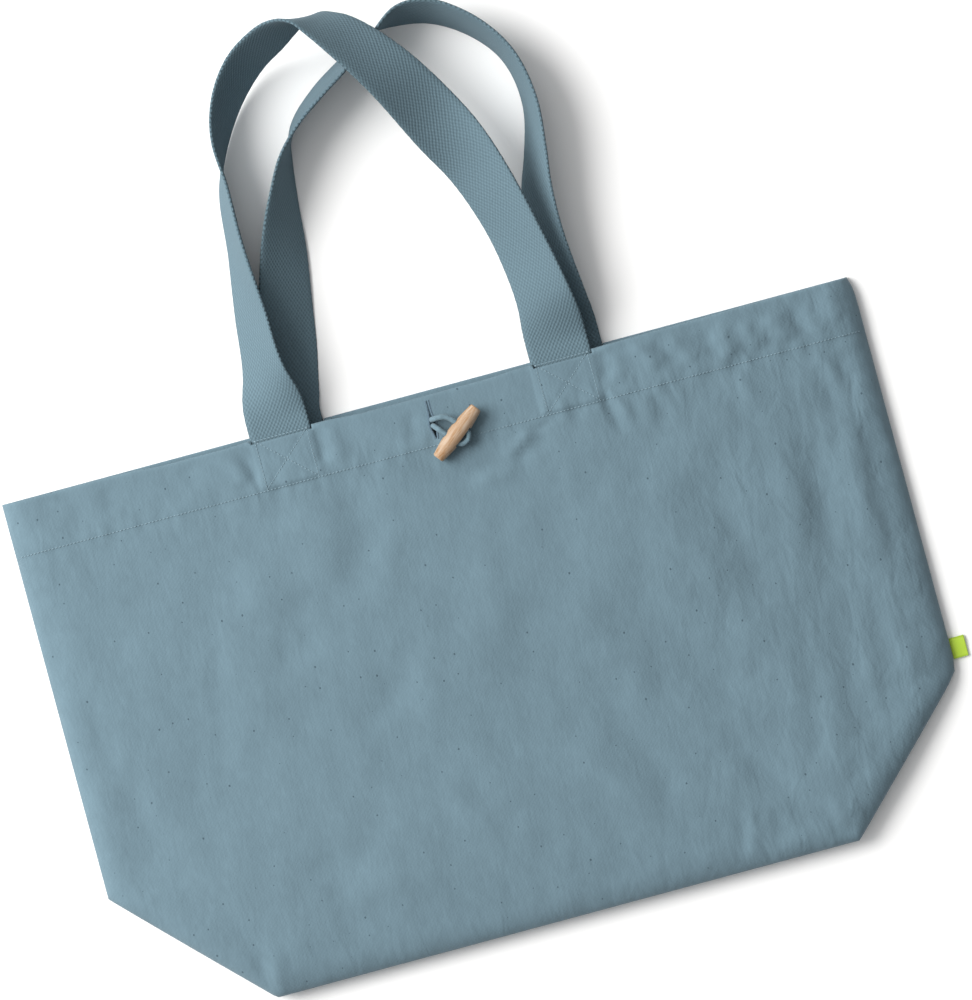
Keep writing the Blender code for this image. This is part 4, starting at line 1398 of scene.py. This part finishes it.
def make_cord(finish):
    """The cord as a soft tube along its route, and the points that it follows."""
    route = [tuple(point) for point in cord_route()]
    path = [Vector(point) for point in smooth_path(route, CORD_RING)]
    side = (path[1] - path[0]).orthogonal()
    rings = []
    along = []
    for middle, ahead, run in along_path(path):
        along.append(run)
        forward = ahead.normalized()
        side = (side - forward * side.dot(forward)).normalized()
        up = forward.cross(side)
        pinch = 1 + 0.03 * math.sin(math.tau * run / CORD_GATHER)
        ring = []
        for step in range(CORD_SIDES):
            angle = math.tau * step / CORD_SIDES
            radius = CORD / 2 * pinch * (1 + 0.03 * math.cos(3 * angle + run * 700))
            ring.append(middle + (side * math.cos(angle) + up * math.sin(angle)) * radius)
        rings.append(ring)
    around = [math.pi * CORD * step / CORD_SIDES for step in range(CORD_SIDES + 1)]
    return add_piece("cord_tube", loft(rings, along, around, True), finish, 60), path


def make_label(finish):
    """Ribbon folded in half, its ends caught in the side seam."""
    half = LABEL_THICK / 2
    outline = [(0.0, half), (LABEL_OUT - half, half)]
    outline += [(LABEL_OUT - half + half * math.sin(turn), half * math.cos(turn))
                for turn in steps(0.0, math.pi, 8)]
    outline += [(0.0, -half), (0.0, -0.06 * MM), (LABEL_OUT - half, -0.03 * MM),
                (LABEL_OUT - half, 0.03 * MM), (0.0, 0.06 * MM)]
    rings = []
    along = [place * LABEL_TALL for place in [-0.5] + steps(-0.5, 0.5, 18)]
    for place in along:
        curl = LABEL_CURL * math.sin(place * 420)
        rings.append([(HALF_WIDTH + GAP + out, MOUTH_Y - LABEL_DOWN + place,
                       SEAM_RIM + up + curl * out / LABEL_OUT) for out, up in outline])
    shape = loft(rings, along, lengths_round(outline), True)
    return add_piece("label_ribbon", shape, finish, 50)


# Stitches

def stitch_tree(name):
    """Geometry nodes that lay a stitch at each pitch along the mesh's edges."""
    tree = bpy.data.node_groups.new(name, "GeometryNodeTree")
    face = tree.interface
    face.new_socket("Lines", in_out="INPUT", socket_type="NodeSocketGeometry")
    for label in ("Pitch", "Length", "Width"):
        face.new_socket(label, in_out="INPUT", socket_type="NodeSocketFloat")
    face.new_socket("Thread", in_out="INPUT", socket_type="NodeSocketMaterial")
    face.new_socket("Stitches", in_out="OUTPUT", socket_type="NodeSocketGeometry")
    given = tree.nodes.new("NodeGroupInput").outputs
    curve = add_node(tree, "GeometryNodeMeshToCurve", {0: given["Lines"]})
    points = add_node(tree, "GeometryNodeCurveToPoints", {
        "Curve": curve.outputs[0], "Length": given["Pitch"]}, mode="LENGTH")
    turn = add_node(tree, "FunctionNodeAlignRotationToVector", {
        "Vector": points.outputs["Tangent"]}, axis="X")
    ball = add_node(tree, "GeometryNodeMeshUVSphere", {
        "Segments": 8, "Rings": 6, "Radius": 0.5})
    size = add_node(tree, "ShaderNodeCombineXYZ", {
        0: given["Length"], 1: given["Width"], 2: given["Width"]})
    placed = add_node(tree, "GeometryNodeInstanceOnPoints", {
        "Points": points.outputs["Points"], "Instance": ball.outputs["Mesh"],
        "Rotation": turn.outputs[0], "Scale": size.outputs[0]})
    real = add_node(tree, "GeometryNodeRealizeInstances", {0: placed.outputs[0]})
    finished = add_node(tree, "GeometryNodeSetMaterial", {
        "Geometry": real.outputs[0], "Material": given["Thread"]})
    add_node(tree, "NodeGroupOutput", {0: finished.outputs[0]})
    return tree


def make_stitches(name, tree, lines, sizes, thread):
    """Stitches along polylines, as one plain mesh."""
    shape = bmesh.new()
    for line in lines:
        verts = [shape.verts.new(point) for point in line]
        for start, end in zip(verts, verts[1:]):
            shape.edges.new((start, end))
    made = add_piece(name, shape, thread)
    modifier = made.modifiers.new("stitches", "NODES")
    modifier.node_group = tree
    values = {**sizes, "Thread": thread}
    for socket in tree.interface.items_tree:
        if socket.in_out == "INPUT" and socket.name in values:
            modifier[socket.identifier] = values[socket.name]
    settle(made)
    made.data.shade_smooth()
    return made


def on_cloth(start, end, spacing=0.0012):
    """Points over the front cloth between two places, each across and down."""
    start = Vector(start)
    end = Vector(end)
    count = max(2, round((end - start).length / spacing))
    points = []
    for step in range(count + 1):
        x, down = start.lerp(end, step / count)
        points.append((x, MOUTH_Y - down, cloth_height(x, down) + SEAM_STITCH["Width"] * 0.30))
    return points


def buttonhole_lines():
    """Short stitches side by side along both lips of the slit and over its two ends."""
    lines = []
    top = SLIT_DOWN - SLIT_LENGTH / 2
    for step in range(BUTTONHOLE_COUNT + 1):
        down = top + SLIT_LENGTH * step / BUTTONHOLE_COUNT
        half = slit_opening(clamp(down, top + 0.1 * MM, top + SLIT_LENGTH - 0.1 * MM)) / 2
        for side in (-1, 1):
            start = (SLIT_ACROSS + side * half, down)
            end = (SLIT_ACROSS + side * (half + BUTTONHOLE_REACH), down)
            height = cloth_height(*end)
            lines.append([(start[0], MOUTH_Y - down, height - 0.4 * MM),
                          (start[0] + side * 0.4 * MM, MOUTH_Y - down, height + 0.2 * MM),
                          (end[0], MOUTH_Y - down, height - 0.1 * MM)])
    return lines


# Floor, light and camera

def make_floor(finish):
    """A flat floor, which isn't part of the bag."""
    shape = bmesh.new()
    bmesh.ops.create_grid(shape, x_segments=1, y_segments=1, size=FLOOR_SIZE)
    floor = add_piece("floor", shape, finish)


def aim(thing, target):
    """Point an object's own -Z axis at the target."""
    heading = Vector(target) - thing.location
    thing.rotation_euler = heading.to_track_quat("-Z", "Y").to_euler()


def make_light():
    """The key light: a big round lamp, up and to the left in the photo."""
    lamp = bpy.data.lights.new("key", "AREA")
    lamp.shape = "DISK"
    lamp.size = LIGHT_SIZE
    lamp.energy = LIGHT_WATTS
    lamp.color = LIGHT_COLOUR
    light = add_object("key", lamp)
    light.location = PHOTO_MIDDLE + Vector(LIGHT_FROM).normalized() * LIGHT_AWAY
    aim(light, PHOTO_MIDDLE)


def make_world():
    """Soft surround, brightest on the side that the key light comes from."""
    world = bpy.data.worlds.new("soft_surround")
    bpy.context.scene.world = world
    world.use_nodes = True
    tree = world.node_tree
    background = tree.nodes["Background"]
    background.inputs["Color"].default_value = (1.0, 1.0, 1.0, 1.0)
    place = add_node(tree, "ShaderNodeTexCoord").outputs["Generated"]
    towards = tuple(Vector(LIGHT_FROM).normalized())
    facing = add_node(tree, "ShaderNodeVectorMath", {0: place, 1: towards},
                      operation="DOT_PRODUCT").outputs["Value"]
    bright_side = add_node(tree, "ShaderNodeMapRange", {"Value": facing})
    glow = add_node(tree, "ShaderNodeMath", {0: bright_side, 1: SURROUND_FALL},
                    operation="POWER")
    strength = add_node(tree, "ShaderNodeMapRange", {
        "Value": glow, "To Min": SURROUND_DIM, "To Max": SURROUND_BRIGHT})
    tree.links.new(strength.outputs[0], background.inputs["Strength"])


def make_camera():
    """Straight above the bag, which lies turned in the photo."""
    data = bpy.data.cameras.new("camera")
    data.lens = LENS
    data.sensor_width = SENSOR
    data.clip_end = 100.0
    camera = add_object("camera", data)
    distance = FRAME_HIGH * PIXEL * LENS / SENSOR
    camera.location = PHOTO_MIDDLE + Vector((0.0, 0.0, distance))
    camera.rotation_euler = (0.0, 0.0, PHOTO_TURN)
    bpy.context.scene.camera = camera


def build():
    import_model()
    make_camera()

    canvas = woven_canvas("washed_cotton_canvas", "637984")
    webbing = woven_webbing("cotton_webbing", "5F747E")
    cord_finish = cotton_tube("canvas_tube", "687F8A")
    thread = sewing_thread("cotton_thread", "7F96A1")
    dull_thread = sewing_thread("buttonhole_thread", "647A8A")
    wood = turned_beech("turned_beech", toggle_frame())
    ribbon = green_ribbon("polyester_ribbon")

    toggle = make_toggle(wood)
    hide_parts("toggle")
    cord, route = make_cord(cord_finish)
    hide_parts("toggle_loop")

    cloth = make_cloth(canvas)
    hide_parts("front_panel", "back_panel", "base_gusset", "front_hem", "back_hem")

    front = make_strap("front_webbing", strap_sections(FRONT_STRAP, FRONT_SHIFT, front_foot),
                       2.0, webbing)
    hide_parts("front_handle")
    back = make_strap("back_webbing", strap_sections(BACK_STRAP, BACK_SHIFT, back_foot),
                      7.0, webbing)
    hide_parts("back_handle")

    label = make_label(ribbon)
    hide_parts("side_label")

    tree = stitch_tree("stitch_row")
    sewn = [on_cloth(start, end) for start, end in sewn_lines()]
    seams = make_stitches("seam_stitches", tree, sewn, SEAM_STITCH, thread)
    buttonhole = make_stitches("buttonhole_stitches", tree, buttonhole_lines(),
                               BUTTONHOLE_STITCH, dull_thread)

    for piece in (toggle, cord, cloth, front, back, label, seams, buttonhole):
        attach(piece, "root")

    make_floor(pale_floor("studio_paper"))
    make_light()
    make_world()
    bpy.context.scene.view_settings.view_transform = "Standard"


build()
